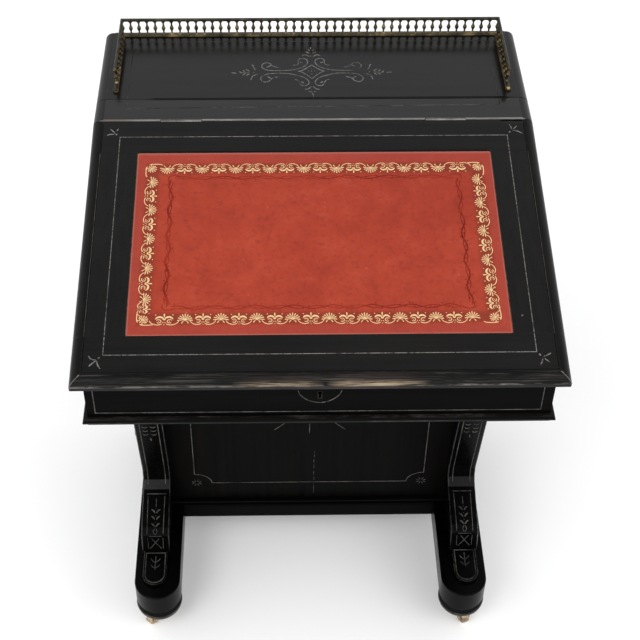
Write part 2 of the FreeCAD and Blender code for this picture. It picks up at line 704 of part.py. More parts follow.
# drawers: all four open to the right; the left side has matching dummy fronts
NAMES = ("bottom", "lower", "upper", "top")
gap = S.drawerGap
dummies = []
dummy_knobs = []
for (z, h), nm in zip(openings, NAMES):
    x1 = S.pedHalf - 0.3
    x0 = x1 - S.drawerFrontT
    fb, fp = prism("YZ", [[(oy0 + gap, z + gap), (oy1 - gap, z + gap), (oy1 - gap, z + h - gap),
                           (oy0 + gap, z + h - gap)]], x0, x1)
    dress(fb, fp, "Chamfer", 0.8, lambda p, e, t=S.drawerFrontT.v: abs(p.x - t) < 1e-4)
    keep(fb, "drawer_%s_front" % nm)
    by0, by1 = oy0 + gap + 0.5, oy1 - gap - 0.5
    shell = cut(box(S.drawerEnd, x0, by0, by1, z + 1.0, z + h - 7),
                box(S.drawerEnd + S.drawerSide, x0 - 0.0, by0 + S.drawerSide, by1 - S.drawerSide,
                    z + 1.0 + S.drawerBottom, z + h + 5))
    keep(shell, "drawer_%s_box" % nm)
    ks = [knob(x1, yy, z + h / 2, 1) for yy in (oy0 + S.knobInset, oy1 - S.knobInset)]
    keep(group(ks, "drawer_%s_knobs" % nm), "drawer_%s_knobs" % nm)
    db, dp = prism("YZ", [[(oy0, z), (oy1, z), (oy1, z + h), (oy0, z + h)]], -x1, -x1 + 12)
    dress(db, dp, "Chamfer", 0.8, lambda p, e: abs(p.x) < 1e-4)
    dummies.append(db)
    dummy_knobs += [knob(-x1, yy, z + h / 2, -1) for yy in (oy0 + S.knobInset, oy1 - S.knobInset)]
keep(group(dummies, "dummy_drawer_fronts"), "dummy_drawer_fronts")
keep(group(dummy_knobs, "dummy_drawer_knobs"), "dummy_drawer_knobs")

# base board and plinth rails
bb, bp = prism("YZ", [[(S.boardFront, S.sledTop), (S.pedBack + 2, S.sledTop), (S.pedBack + 2, S.pedBase),
                       (S.boardFront + 3.5, S.pedBase), (S.boardFront, S.sledTop + 3.0)]],
               -S.pedHalf - 0.5, S.pedHalf + 0.5)
plinthHalf = S.sledX - S.sledHalf
pf, _ = prism("YZ", [[(S.plinthFront, S.plinthBase), (S.plinthFront + 18, S.plinthBase),
                      (S.plinthFront + 18, S.sledTop), (S.plinthFront + 3.0, S.sledTop),
                      (S.plinthFront, S.sledTop - 3.4, dim(3.6), -1)]], -plinthHalf, plinthHalf)
pr = box(-plinthHalf, plinthHalf, S.pedBack - 16, S.pedBack + 2, S.plinthBase, S.sledTop)
keep(group([bb, pf, pr], "pedestal_plinth"), "pedestal_plinth")

# ------------------------------------------------------------------ front supports
# Side outline in (Y, Z): a scroll nose under the case, a long hollow back to the
# pedestal, a knee, and a stepped foot that lies on the sled.
SUPPORT = [
    (S.boardFront, S.sledTop), (S.boardFront, S.pedBase), (S.pedFront, S.pedBase),
    (S.pedFront, S.caseBase), (dim(62), S.caseBase), (dim(62), dim(633)),
    (dim(88), dim(606), dim(27.5), -1), (dim(96), dim(606)), (dim(96), dim(601)),
    (dim(270), dim(390), dim(227), 1), (dim(310.6), dim(180)), (dim(308), dim(163)),
    (dim(296), dim(153.5)), (dim(236), dim(138)), (dim(226), dim(132)),
    (dim(219.5), dim(102)), (dim(219.5), S.sledTop)]


def support(sign, name):
    a, b = (S.suppIn, S.suppOut) if sign > 0 else (-S.suppOut, -S.suppIn)
    body, pad = prism("YZ", [SUPPORT], a, b)
    w = (S.suppOut - S.suppIn).v

    def want(p, e):
        side = abs(p.x) < 1e-4 or abs(p.x - w) < 1e-4
        front = p.y < 312.0 and S.sledTop.v + 3 < p.z < S.caseBase.v - 1
        return side and front
    dress(body, pad, "Chamfer", 1.6, want)
    # raised pad on the toe
    half = (w - 6.0) / 2.0
    mid = (S.suppIn + S.suppOut) / 2 * sign
    pad_body, _p = prism("XY", [[(mid + half, dim(221)), (mid - half, dim(221)), (mid - half, dim(177)),
                                 (mid + half, dim(177), dim(half + 0.05), -1)]],
                         S.sledTop, S.sledTop + 6.0)
    return keep(union([body, pad_body]), name)


support(-1, "support_left")
support(1, "support_right")


# ------------------------------------------------------------------ sled feet, bun feet
def sled(sign, name):
    cx = S.sledX * sign
    r = S.sledHalf
    x0, x1 = cx - r, cx + r
    body, pad = prism("XY", [[(x0, S.sledFrontY), (x1, S.sledFrontY, r + 0.001, -1), (x1, S.sledBackY),
                              (x0, S.sledBackY, r + 0.001, -1)]], S.sledBase, S.sledTop)
    t = (S.sledTop - S.sledBase).v
    dress(body, pad, "Fillet", 2.5, lambda p, e: abs(p.z - t) < 1e-4)
    return keep(body, name)


sled(-1, "sled_left")
sled(1, "sled_right")

CORNERS = [(-S.sledX, S.sledFrontY, S.turnFL, "front_left"), (S.sledX, S.sledFrontY, S.turnFR, "front_right"),
           (-S.sledX, S.sledBackY, S.turnBL, "back_left"), (S.sledX, S.sledBackY, S.turnBR, "back_right")]
buns, plates = [], []
bunTall = S.sledBase - S.bunBase
for cx, cy, turn, nm in CORNERS:
    buns.append(turned([(dim(0), dim(0)), (dim(22), dim(0)), (dim(34.8), dim(14.5), dim(14.7), -1),
                        (dim(31.0), dim(22.0), dim(9.4), -1), (dim(32), dim(23.4)),
                        (dim(32), bunTall), (dim(0), bunTall)], cx, cy, S.bunBase))
    plates.append(turned([(dim(0), dim(0)), (dim(4), dim(0)), (dim(4), dim(2.2)), (dim(2.5), dim(2.2)),
                          (dim(2.5), dim(7.5)), (dim(15), dim(7.5)), (dim(15), dim(10)), (dim(0), dim(10))],
                         cx, cy, S.bunBase - 10))
keep(group(buns, "bun_feet"), "bun_feet")
keep(group(plates, "castor_plates"), "castor_plates")

# castors: a horn that swivels on the plate's stem and a wheel on its axle
for cx, cy, turn, nm in CORNERS:
    fr = Frame(cx, cy - S.midY, 0, "Z", turn)
    cap = prism("XY", [("C", dim(0), dim(0), dim(9.5)), ("C", dim(0), dim(0), dim(2.56))], 20.5, 25.2, fr)[0]
    arms = []
    tr = S.castorTrail
    for s in (-1, 1):
        lo, hi = (6.1, 8.5) if s > 0 else (-8.5, -6.1)
        arms.append(prism("XZ", [[(dim(-4.0), dim(21.2)), (tr - 6.0, dim(11.0)), (tr - 4.2, dim(7.2), dim(5.0), -1),
                                  (tr + 4.2, dim(7.2), dim(5.0), -1), (tr + 5.0, dim(12.5)), (dim(5.0), dim(21.2))]],
                          lo, hi, fr)[0])
    axle = prism("XZ", [("C", tr, S.wheelRad, S.axleRad)], -8.9, 8.9, fr)[0]
    keep(union([cap] + arms + [axle]), "castor_%s_horn" % nm)
    hw = S.wheelWide / 2
    wr = S.wheelRad
    wheel, wp = prism("XZ", [("C", tr, wr, wr), ("C", tr, wr, S.axleRad + 0.05)], -hw, hw, fr)
    dress(wheel, wp, "Fillet", 1.4, lambda p, e: e.Curve.TypeId == "Part::GeomCircle" and e.Curve.Radius > 5)
    keep(wheel, "castor_%s_wheel" % nm)

# ------------------------------------------------------------------ brass gallery on the flap
gx, gy, ge, gz, gh = S.galleryX, S.galleryY, S.galleryEnd, S.deckTop, S.galleryHigh
def rail_lengths(half, y_end, z0, z1):
    """Three butted lengths of a rail: the back one and two sides."""
    return [box(-gx - half, gx + half, gy - half, gy + half, z0, z1),
            box(-gx - half, -gx + half, y_end, gy - half, z0, z1),
            box(gx - half, gx + half, y_end, gy - half, z0, z1)]


lugY = ge + 3.7
base_back, base_left, base_right = rail_lengths(3.0, lugY, gz, gz + 3.0)
top_rail = rail_lengths(1.9, S.galleryTopEnd, gz + gh - 3.6, gz + gh)
# the base rail runs on past the last spindle to a round lug with a screw
base_sides = []
for s, side in ((-1, base_left), (1, base_right)):
    base_sides.append(union([side, cyl(s * gx, lugY, gz, gz + 3.0, 3.7),
                             cyl(s * gx, lugY, gz + 2.5, gz + 4.2, 2.2)]))
keep(group([base_back] + base_sides + top_rail, "gallery_rails"), "gallery_rails")


def spindle(x, y):
    """Turned spindle: foot, waist, bulb, waist, head."""
    z0 = gz.v + 3.0
    hh = gh.v - 6.6
    pts = [(0, 0), (2.6, 0), (2.6, 1.3), (1.2, 4.2), (1.2, 6.2), (2.5, 9.6), (1.3, 13.4), (1.2, 16.4), (2.4, hh), (0, hh)]
    wire = Part.makePolygon([Vector(a, 0, b) for a, b in pts] + [Vector(0, 0, 0)])
    solid = Part.Face(wire).revolve(Vector(0, 0, 0), Vector(0, 0, 1), 360)
    solid.translate(Vector(x, y - S.midY.v, z0))
    return solid


spindles = []
nb = 47
for i in range(nb):
    spindles.append(spindle(-gx.v + 2 * gx.v * i / (nb - 1), gy.v))
ns = 10
y_first = S.galleryTopEnd.v + 2.6
for s in (-1, 1):
    for j in range(ns):
        spindles.append(spindle(s * gx.v, y_first + (gy.v - y_first) * j / ns))
keep(set_shape("gallery_spindles", Part.makeCompound(spindles)), "gallery_spindles")
DOC.recompute()

# ------------------------------------------------------------------ check and write
bad = [o.Label for o in DOC.Objects if "Invalid" in o.State or "Error" in o.State]
if bad:
    raise RuntimeError("failed objects: %s" % bad)
os.makedirs("parts", exist_ok=True)
labels = {}
for o in DOC.Objects:
    if o.Label in EXPORT:
        labels[o.Label] = o
box_all = FreeCAD.BoundBox()
for name in EXPORT:
    o = labels[name]
    sh = o.Shape
    if sh.isNull() or not sh.isValid() or sh.Volume <= 0:
        raise RuntimeError("bad shape: %s" % name)
    box_all.add(sh.optimalBoundingBox())
for name in EXPORT:
    labels[name].Shape.exportStep("parts/%s.step" % name)
print("nodes", len(EXPORT), "box X %.2f %.2f Y %.2f %.2f Z %.2f %.2f" % (
    box_all.XMin, box_all.XMax, box_all.YMin, box_all.YMax, box_all.ZMin, box_all.ZMax))
for name in EXPORT:
    sh = labels[name].Shape
    print("%-26s solids %d volume %.0f" % (name, len(sh.Solids), sh.Volume))
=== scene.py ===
import math
import json
import random

import bpy
import bmesh
import numpy as np
from mathutils import Matrix, Vector
from mathutils.geometry import delaunay_2d_cdt

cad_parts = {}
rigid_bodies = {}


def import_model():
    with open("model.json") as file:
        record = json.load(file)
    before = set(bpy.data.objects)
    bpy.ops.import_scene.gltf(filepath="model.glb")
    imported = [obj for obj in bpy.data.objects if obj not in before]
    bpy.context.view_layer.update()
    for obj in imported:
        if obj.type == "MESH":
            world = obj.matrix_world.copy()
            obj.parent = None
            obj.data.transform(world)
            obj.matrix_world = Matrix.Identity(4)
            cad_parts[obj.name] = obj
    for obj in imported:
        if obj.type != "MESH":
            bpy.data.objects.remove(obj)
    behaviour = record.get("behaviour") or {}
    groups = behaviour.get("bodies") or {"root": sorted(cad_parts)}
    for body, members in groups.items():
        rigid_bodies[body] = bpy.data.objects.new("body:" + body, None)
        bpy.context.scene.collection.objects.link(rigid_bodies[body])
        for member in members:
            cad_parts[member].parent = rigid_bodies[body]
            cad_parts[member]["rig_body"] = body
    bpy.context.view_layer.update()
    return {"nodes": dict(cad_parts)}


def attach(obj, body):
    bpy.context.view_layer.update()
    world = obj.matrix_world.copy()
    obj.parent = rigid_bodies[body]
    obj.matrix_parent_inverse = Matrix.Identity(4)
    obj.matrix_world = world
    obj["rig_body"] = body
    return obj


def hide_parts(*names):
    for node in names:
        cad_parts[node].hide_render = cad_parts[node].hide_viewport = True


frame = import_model()
NODES = frame["nodes"]
rng = random.Random(11)

# ------------------------------------------------------------------ frame helpers
# Desk millimetres: x to the right, y from the front edge of the lid, z up.
MID = 285.1
SLOPE = math.radians(10.4)
SL, CL = math.sin(SLOPE), math.cos(SLOPE)


def P(x, y, z):
    return Vector((x / 1000.0, (y - MID) / 1000.0, z / 1000.0))


def LID(x, s, t):
    """x across, s up the slope, t above the lid's underside."""
    return P(x, s * CL - t * SL, 718.7 + s * SL + t * CL)


def to_mm(co):
    return (co.x * 1000.0, co.y * 1000.0 + MID, co.z * 1000.0)


def to_lid(co):
    x, y, z = to_mm(co)
    return (x, y * CL + (z - 718.7) * SL, -y * SL + (z - 718.7) * CL)


# ------------------------------------------------------------------ camera
def make_camera():
    p, yaw, roll = math.radians(44.95), math.radians(1.206), math.radians(-0.407)
    fwd = Vector((math.sin(yaw) * math.cos(p), math.cos(yaw) * math.cos(p), -math.sin(p)))
    right = Vector((math.cos(yaw), -math.sin(yaw), 0.0))
    down = fwd.cross(right)
    R = right * math.cos(roll) + down * math.sin(roll)
    D = -right * math.sin(roll) + down * math.cos(roll)
    m = Matrix((R, -D, -fwd)).transposed().to_4x4()
    m.translation = Vector((-0.04563, -1.26543, 1.828665))
    cam = bpy.data.cameras.new("camera")
    cam.sensor_width = 36.0
    cam.sensor_fit = "HORIZONTAL"
    cam.lens = 1350.14 * 36.0 / 640.0
    cam.shift_x, cam.shift_y = 21.47 / 640.0, -15.41 / 640.0
    cam.clip_start, cam.clip_end = 0.05, 60.0
    o = bpy.data.objects.new("camera", cam)
    bpy.context.scene.collection.objects.link(o)
    o.matrix_world = m
    bpy.context.scene.camera = o


make_camera()


# ------------------------------------------------------------------ material maker
class Mat:
    def __init__(self, name):
        self.m = bpy.data.materials.new(name)
        self.m.use_nodes = True
        self.nt = self.m.node_tree
        self.nt.nodes.clear()
        self.out = self.nt.nodes.new("ShaderNodeOutputMaterial")
        self.b = self.nt.nodes.new("ShaderNodeBsdfPrincipled")
        self.link(self.b.outputs["BSDF"], self.out.inputs["Surface"])
        self.tc = self.nt.nodes.new("ShaderNodeTexCoord")
        self.co = self.tc.outputs["Object"]

    def link(self, a, b):
        self.nt.links.new(a, b)

    def new(self, kind):
        return self.nt.nodes.new(kind)

    def mapped(self, scale, rot=(0, 0, 0), loc=(0, 0, 0), co=None):
        n = self.new("ShaderNodeMapping")
        n.inputs["Scale"].default_value = scale
        n.inputs["Rotation"].default_value = rot
        n.inputs["Location"].default_value = loc
        self.link(co or self.co, n.inputs["Vector"])
        return n.outputs["Vector"]

    def noise(self, vec, scale, detail=3.0, rough=0.5, distort=0.0):
        n = self.new("ShaderNodeTexNoise")
        n.inputs["Scale"].default_value = scale
        n.inputs["Detail"].default_value = detail
        n.inputs["Roughness"].default_value = rough
        n.inputs["Distortion"].default_value = distort
        self.link(vec, n.inputs["Vector"])
        return n.outputs["Fac"]

    def voronoi(self, vec, scale, feature="F1", rand=1.0):
        n = self.new("ShaderNodeTexVoronoi")
        n.feature = feature
        n.inputs["Scale"].default_value = scale
        n.inputs["Randomness"].default_value = rand
        self.link(vec, n.inputs["Vector"])
        return n.outputs["Distance"]

    def ramp(self, fac, stops, interp="LINEAR"):
        n = self.new("ShaderNodeValToRGB")
        n.color_ramp.interpolation = interp
        els = n.color_ramp.elements
        while len(els) < len(stops):
            els.new(0.5)
        for e, (pos, col) in zip(els, stops):
            e.position = pos
            if isinstance(col, (int, float)):
                col = (col, col, col)
            e.color = (col[0], col[1], col[2], 1.0)
        self.link(fac, n.inputs["Fac"])
        return n.outputs["Color"]

    def mix(self, fac, a, b, blend="MIX"):
        n = self.new("ShaderNodeMixRGB")
        n.blend_type = blend
        for key, v in (("Fac", fac), ("Color1", a), ("Color2", b)):
            if isinstance(v, (int, float)):
                if key == "Fac":
                    n.inputs[key].default_value = v
                else:
                    n.inputs[key].default_value = (v, v, v, 1)
            elif isinstance(v, tuple):
                n.inputs[key].default_value = (v[0], v[1], v[2], 1)
            else:
                self.link(v, n.inputs[key])
        return n.outputs["Color"]

    def math(self, op, a, b=None, c=None, clamp=False):
        n = self.new("ShaderNodeMath")
        n.operation = op
        n.use_clamp = clamp
        for i, v in enumerate((a, b, c)):
            if v is None:
                continue
            if isinstance(v, (int, float)):
                n.inputs[i].default_value = v
            else:
                self.link(v, n.inputs[i])
        return n.outputs[0]

    def dot(self, v, co=None):
        n = self.new("ShaderNodeVectorMath")
        n.operation = "DOT_PRODUCT"
        self.link(co or self.co, n.inputs[0])
        n.inputs[1].default_value = v
        return n.outputs["Value"]

    def span(self, value, lo, hi, a=0.0, b=1.0):
        n = self.new("ShaderNodeMapRange")
        n.clamp = True
        n.inputs["From Min"].default_value = lo
        n.inputs["From Max"].default_value = hi
        n.inputs["To Min"].default_value = a
        n.inputs["To Max"].default_value = b
        self.link(value, n.inputs["Value"])
        return n.outputs["Result"]

    def bump(self, height, dist, strength=1.0, normal=None):
        n = self.new("ShaderNodeBump")
        n.inputs["Strength"].default_value = strength
        n.inputs["Distance"].default_value = dist
        self.link(height, n.inputs["Height"])
        if normal is not None:
            self.link(normal, n.inputs["Normal"])
        return n.outputs["Normal"]

    def set(self, **k):
        for key, v in k.items():
            sock = self.b.inputs[key.replace("_", " ")]
            if isinstance(v, (int, float)):
                sock.default_value = v
            elif isinstance(v, tuple):
                sock.default_value = (v[0], v[1], v[2], 1.0)
            else:
                self.link(v, sock)
        return self

    def view(self, rgb):
        self.m.diffuse_color = (rgb[0], rgb[1], rgb[2], 1)
        return self.m


CACHE = {}


def grain_scale(axis, along, across):
    s = [across, across, across]
    s["xyz".index(axis)] = along
    return tuple(s)


def ebony(axis="x", spec=0.33, rough=0.30, tone=1.0, tilt=0.0, shift=0.0, warm=0.35):
    """Ebonised, polished wood: black stain over fine straight grain, faint brown in the pores. Low brightness values
    give darker copies, used as painted shade on some front-facing and low pieces.
    """
    key = ("ebony", axis, spec, rough, tone, tilt, shift, warm)
    if key in CACHE:
        return CACHE[key]
    m = Mat("ebonised_%s_%d" % (axis, len(CACHE)))
    rot = (tilt, 0, 0)
    fine = m.noise(m.mapped(grain_scale(axis, 16, 1500), rot, (shift, shift, shift)), 1.0, 3, 0.6)
    band = m.noise(m.mapped(grain_scale(axis, 3.2, 120), rot, (shift, shift * 0.7, 0)), 1.0, 4, 0.55, 0.4)
    cloud = m.noise(m.mapped((9, 9, 9), (0, 0, 0), (shift, 0, 0)), 1.0, 4, 0.55)
    speck = m.noise(m.mapped((420, 420, 420)), 1.0, 2, 0.7)
    base = m.ramp(band, [(0.30, (0.0030 * tone, 0.0028 * tone, 0.0027 * tone)),
                         (0.72, (0.0072 * tone, 0.0064 * tone, 0.0056 * tone))])
    pores = m.span(fine, 0.60, 0.86)
    base = m.mix(m.math("MULTIPLY", pores, warm), base, (0.034 * tone, 0.026 * tone, 0.020 * tone))
    dust = m.math("MULTIPLY", m.span(speck, 0.70, 0.80), m.span(cloud, 0.52, 0.72))
    base = m.mix(m.math("MULTIPLY", dust, 0.22 * tone), base, (0.08, 0.075, 0.07))
    r = m.math("ADD", m.span(cloud, 0.3, 0.75, rough - 0.05, rough + 0.10), m.span(fine, 0.35, 0.85, -0.02, 0.09))
    nrm = m.bump(m.math("ADD", m.math("MULTIPLY", fine, 0.7), m.math("MULTIPLY", band, 0.5)), 0.00012, 0.55)
    m.set(Base_Color=base, Roughness=r, Normal=nrm, Specular_IOR_Level=spec)
    CACHE[key] = m.view((0.01, 0.01, 0.01))
    return CACHE[key]


def worn_edge(axis="x", amount=0.5, spec=0.5, colour=(0.085, 0.078, 0.070), bright=(0.27, 0.25, 0.22)):
    """Arris where the black is rubbed through to brown and grey in places."""
    key = ("edge", axis, amount, spec, colour, bright)
    if key in CACHE:
        return CACHE[key]
    m = Mat("arris_%s_%d" % (axis, len(CACHE)))
    runs = m.noise(m.mapped(grain_scale(axis, 14, 60)), 1.0, 5, 0.62)
    nicks = m.noise(m.mapped(grain_scale(axis, 90, 420)), 1.0, 3, 0.6)
    w = m.math("MULTIPLY", m.span(runs, 0.62 - 0.30 * amount, 0.82 - 0.30 * amount), m.span(nicks, 0.30, 0.62))
    base = m.mix(w, (0.0060, 0.0056, 0.0052), colour)
    base = m.mix(m.math("MULTIPLY", m.span(nicks, 0.60, 0.72), m.span(runs, 0.50, 0.66)), base, bright)
    m.set(Base_Color=base, Roughness=m.span(w, 0, 1, 0.24, 0.52), Specular_IOR_Level=spec)
    CACHE[key] = m.view((0.03, 0.025, 0.02))
    return CACHE[key]


def incised(axis="x", light=1.0, fade=0.5):
    """Bottom and walls of the cut lines: bare, greyed wood with polish left in places."""
    key = ("cut", axis, light, fade)
    if key in CACHE:
        return CACHE[key]
    m = Mat("incised_%s_%d" % (axis, len(CACHE)))
    a = m.noise(m.mapped((22, 22, 22)), 1.0, 4, 0.6)
    b = m.noise(m.mapped((260, 260, 260)), 1.0, 3, 0.7)
    k = m.math("MULTIPLY", m.span(a, 0.42 - 0.25 * (1 - fade), 0.60 - 0.15 * (1 - fade)), m.span(b, 0.32, 0.55))
    base = m.mix(k, (0.026 * light, 0.025 * light, 0.024 * light), (0.22 * light, 0.212 * light, 0.198 * light))
    m.set(Base_Color=base, Roughness=0.62, Specular_IOR_Level=0.15,
          Normal=m.bump(b, 0.00008, 0.6))
    CACHE[key] = m.view((0.15, 0.14, 0.12))
    return CACHE[key]


def moulding_wear_and_highlight(axis="x"):
    """The lid's front edge: black, combed with fine grey scratches, its lower arris rubbed pale in broken runs, a brown
    patch right of the keyhole where hands have lifted the lid, and a painted tan highlight across the ovolo's middle
    there."""
    m = Mat("rubbed_%s_%d" % (axis, len(CACHE)))
    CACHE[("rub", axis, len(CACHE))] = m.m
    streak = m.noise(m.mapped(grain_scale(axis, 9, 1100)), 1.0, 4, 0.62)
    comb = m.noise(m.mapped(grain_scale(axis, 26, 1900)), 1.0, 3, 0.65)
    patch = m.noise(m.mapped(grain_scale(axis, 15, 70)), 1.0, 4, 0.6)
    runs = m.noise(m.mapped(grain_scale(axis, 34, 140)), 1.0, 4, 0.62)
    x = m.dot((1, 0, 0))
    # height above the lid's underside, out of the slope
    t = m.math("ADD", m.dot((0, -SL, CL)), (-MID * SL / 1000 - 0.7187 * CL))
    base = m.mix(m.math("MULTIPLY", m.span(streak, 0.50, 0.66), m.span(patch, 0.40, 0.60)), (0.0036, 0.0034, 0.0033), (0.044, 0.041, 0.038))
    base = m.mix(m.math("MULTIPLY", m.span(comb, 0.58, 0.70), 0.50), base, (0.095, 0.090, 0.084))
    left = m.math("MULTIPLY", m.span(x, -0.098, -0.062), m.span(x, 0.004, -0.016))
    right = m.math("MULTIPLY", m.span(x, 0.006, 0.030), m.span(x, 0.122, 0.080))
    here = m.math("MAXIMUM", m.math("MULTIPLY", left, 0.62), right)
    brown = m.math("MULTIPLY", here, m.span(streak, 0.42, 0.62))
    base = m.mix(m.math("MULTIPLY", brown, 0.50), base, (0.048, 0.031, 0.028))
    low = m.math("MULTIPLY", m.span(t, 0.0088, 0.0070), m.span(t, 0.0046, 0.0060))
    pale = m.math("MULTIPLY", low, m.span(runs, 0.44, 0.56))
    base = m.mix(m.math("MULTIPLY", pale, 0.55), base, (0.19, 0.175, 0.155))
    # painted highlight: a tan band across the middle of the ovolo, right of the keyhole
    tan = m.math("MULTIPLY", m.math("MULTIPLY", m.span(t, 0.0126, 0.0094), m.span(t, 0.0050, 0.0072)),
                 m.math("MULTIPLY", here, m.span(comb, 0.45, 0.57)))
    base = m.mix(m.math("MULTIPLY", tan, 0.85), base, (0.43, 0.33, 0.215))
    # the mitre at each corner is rubbed to a pale line
    s = m.math("ADD", m.dot((0, CL, SL)), MID / 1000 * CL - 0.7187 * SL)
    off = m.math("ABSOLUTE", m.math("SUBTRACT", m.math("ADD", m.math("ABSOLUTE", x), s), 0.2750))
    mitre = m.math("MULTIPLY", m.span(off, 0.0011, 0.0005), m.span(runs, 0.30, 0.46))
    base = m.mix(m.math("MULTIPLY", mitre, 0.8), base, (0.17, 0.165, 0.155))
    nrm = m.bump(m.math("ADD", streak, comb), 0.00012, 0.6)
    m.set(Base_Color=base, Roughness=m.span(streak, 0.3, 0.8, 0.26, 0.44), Normal=nrm, Specular_IOR_Level=0.08)
    return m.view((0.03, 0.025, 0.02))


def wood(name, light, dark, axis="x", rough=0.5, coarse=1.0):
    """Oiled mahogany and pine of the inside."""
    key = ("wood", name, axis)
    if key in CACHE:
        return CACHE[key]
    m = Mat("%s_%s" % (name, axis))
    v = m.mapped(grain_scale(axis, 5 * coarse, 90 * coarse))
    rings = m.noise(v, 1.0, 5, 0.6, 0.8)
    pores = m.noise(m.mapped(grain_scale(axis, 60, 2200)), 1.0, 2, 0.6)
    cloud = m.noise(m.mapped((7, 7, 7)), 1.0, 3, 0.5)
    base = m.ramp(rings, [(0.25, dark), (0.50, tuple((a + b) / 2 for a, b in zip(light, dark))), (0.75, light)])
    base = m.mix(m.math("MULTIPLY", m.span(pores, 0.58, 0.75), 0.6), base, tuple(c * 0.35 for c in dark))
    base = m.mix(m.math("MULTIPLY", m.span(cloud, 0.35, 0.75), 0.35), base, tuple(c * 0.6 for c in dark))
    m.set(Base_Color=base, Roughness=m.span(rings, 0.2, 0.8, rough - 0.06, rough + 0.12),
          Normal=m.bump(m.math("ADD", rings, pores), 0.00015, 0.4), Specular_IOR_Level=0.35)
    CACHE[key] = m.view(light)
    return CACHE[key]


def metal(name, base, dark, bright, rough=0.38, metallic=1.0, scale=1.0, patina=0.5):
    key = ("metal", name)
    if key in CACHE:
        return CACHE[key]
    m = Mat(name)
    a = m.noise(m.mapped((60 * scale,) * 3), 1.0, 5, 0.6)
    b = m.noise(m.mapped((520 * scale,) * 3), 1.0, 4, 0.65)
    col = m.ramp(a, [(0.30, dark), (0.52, base), (0.78, bright)])
    stain = m.math("MULTIPLY", m.span(b, 0.50, 0.72), patina)
    col = m.mix(stain, col, dark)
    m.set(Base_Color=col, Metallic=m.span(stain, 0, 1, metallic, metallic * 0.55),
          Roughness=m.math("ADD", m.span(a, 0.3, 0.75, rough - 0.08, rough + 0.12), m.span(b, 0.4, 0.7, 0, 0.10)),
          Normal=m.bump(b, 0.0001, 0.35))
    CACHE[key] = m.view(base)
    return CACHE[key]


def shadow_gap(name, level=0.0012, fade_x=None):
    """Near-black for open joints and grooves: old polish and dirt, with painted shade in the gap."""
    key = ("gap", name)
    if key in CACHE:
        return CACHE[key]
    m = Mat(name)
    a = m.noise(m.mapped((90, 90, 90)), 1.0, 3, 0.6)
    base = m.ramp(a, [(0.3, (level, level, level)), (0.75, (level * 2.6, level * 2.4, level * 2.2))])
    if fade_x is not None:
        base = m.mix(m.span(m.dot((1, 0, 0)), fade_x + 0.012, fade_x - 0.006), base, (0.016, 0.015, 0.0145))
    m.set(Base_Color=base, Roughness=m.span(a, 0.3, 0.7, 0.7, 0.9), Specular_IOR_Level=0.03)
    CACHE[key] = m.view((0.002, 0.002, 0.002))
    return CACHE[key]


def rail_arris():
    """Front edge of the fixed rail, where the lid's knuckle side rubs it: pale, with a red-brown start."""
    m = Mat("rail_arris")
    runs = m.noise(m.mapped(grain_scale("x", 30, 300)), 1.0, 4, 0.6)
    fine = m.noise(m.mapped(grain_scale("x", 120, 1500)), 1.0, 3, 0.65)
    x = m.dot((1, 0, 0))
    v = m.math("ADD", m.math("MULTIPLY", runs, 0.7), m.math("MULTIPLY", fine, 0.3))
    base = m.ramp(v, [(0.34, (0.085, 0.082, 0.078)), (0.50, (0.135, 0.130, 0.124)), (0.68, (0.25, 0.24, 0.228))])
    base = m.mix(m.math("MULTIPLY", m.span(x, -0.218, -0.240), m.span(runs, 0.30, 0.50)), base, (0.092, 0.068, 0.056))
    # black at the mouldings
    ends = m.math("MAXIMUM", m.span(x, -0.2640, -0.2680), m.span(x, 0.2636, 0.2650))
    base = m.mix(ends, base, (0.0065, 0.0062, 0.0058))
    m.set(Base_Color=base, Roughness=m.span(runs, 0.3, 0.7, 0.34, 0.50), Specular_IOR_Level=0.3, Normal=m.bump(fine, 0.0001, 0.5))
    return m.view((0.12, 0.115, 0.11))


# ------------------------------------------------------------------ strokes: incised, gilt and blind-tooled lines
def catmull(pts, step, closed=False):
    pts = [np.array(p, float) for p in pts]
    n = len(pts)
    if n < 3:
        return np.array(pts)
    out = []
    last = n if closed else n - 1
    for i in range(last):
        p1, p2 = pts[i % n], pts[(i + 1) % n]
        p0 = pts[(i - 1) % n] if (closed or i > 0) else 2 * p1 - p2
        p3 = pts[(i + 2) % n] if (closed or i + 2 < n) else 2 * p2 - p1
        k = max(1, int(round(np.linalg.norm((p2 - p1)[:2]) / step)))
        for j in range(k):
            t = j / k
            out.append(0.5 * ((2 * p1) + (-p0 + p2) * t + (2 * p0 - 5 * p1 + 4 * p2 - p3) * t * t
                              + (-p0 + 3 * p1 - 3 * p2 + p3) * t ** 3))
    if not closed:
        out.append(pts[-1])
    return np.array(out)


class Stroke:
    """A line in a flat plane: pts Nx2, w its widths. It ends in a point at both ends."""

    def __init__(self, pts, w=1.0, smooth=False, step=1.2, taper=1.0, shape=None, closed=False):
        pts = np.array(pts, float)
        if smooth:
            pts = catmull(pts, step, closed)
        if closed:
            pts = np.vstack([pts, pts[:1]])
        d = np.r_[0, np.cumsum(np.linalg.norm(np.diff(pts, axis=0), axis=1))]
        L = d[-1]
        self.closed = closed
        if not closed:
            t = min(taper, L * 0.49)
            extra = [x for x in (t, L - t) if np.min(np.abs(d - x)) > 1e-3]
            for x in sorted(extra):
                i = int(np.searchsorted(d, x))
                f = (x - d[i - 1]) / (d[i] - d[i - 1])
                pts = np.insert(pts, i, pts[i - 1] + f * (pts[i] - pts[i - 1]), axis=0)
                d = np.insert(d, i, x)
        u = d / max(L, 1e-9)
        if shape is not None:
            ww = np.array([shape(v) for v in u]) * w
        else:
            ww = np.full(len(pts), float(w))
        if not closed:
            ww = ww * np.clip(np.minimum(d, L - d) / max(t, 1e-9), 0, 1)
            ww[0] = ww[-1] = 0.0
        self.p, self.w = pts, ww

    def moved(self, fn):
        s = Stroke.__new__(Stroke)
        s.closed = self.closed
        s.p = np.array([fn(a) for a in self.p])
        s.w = self.w.copy()
        return s


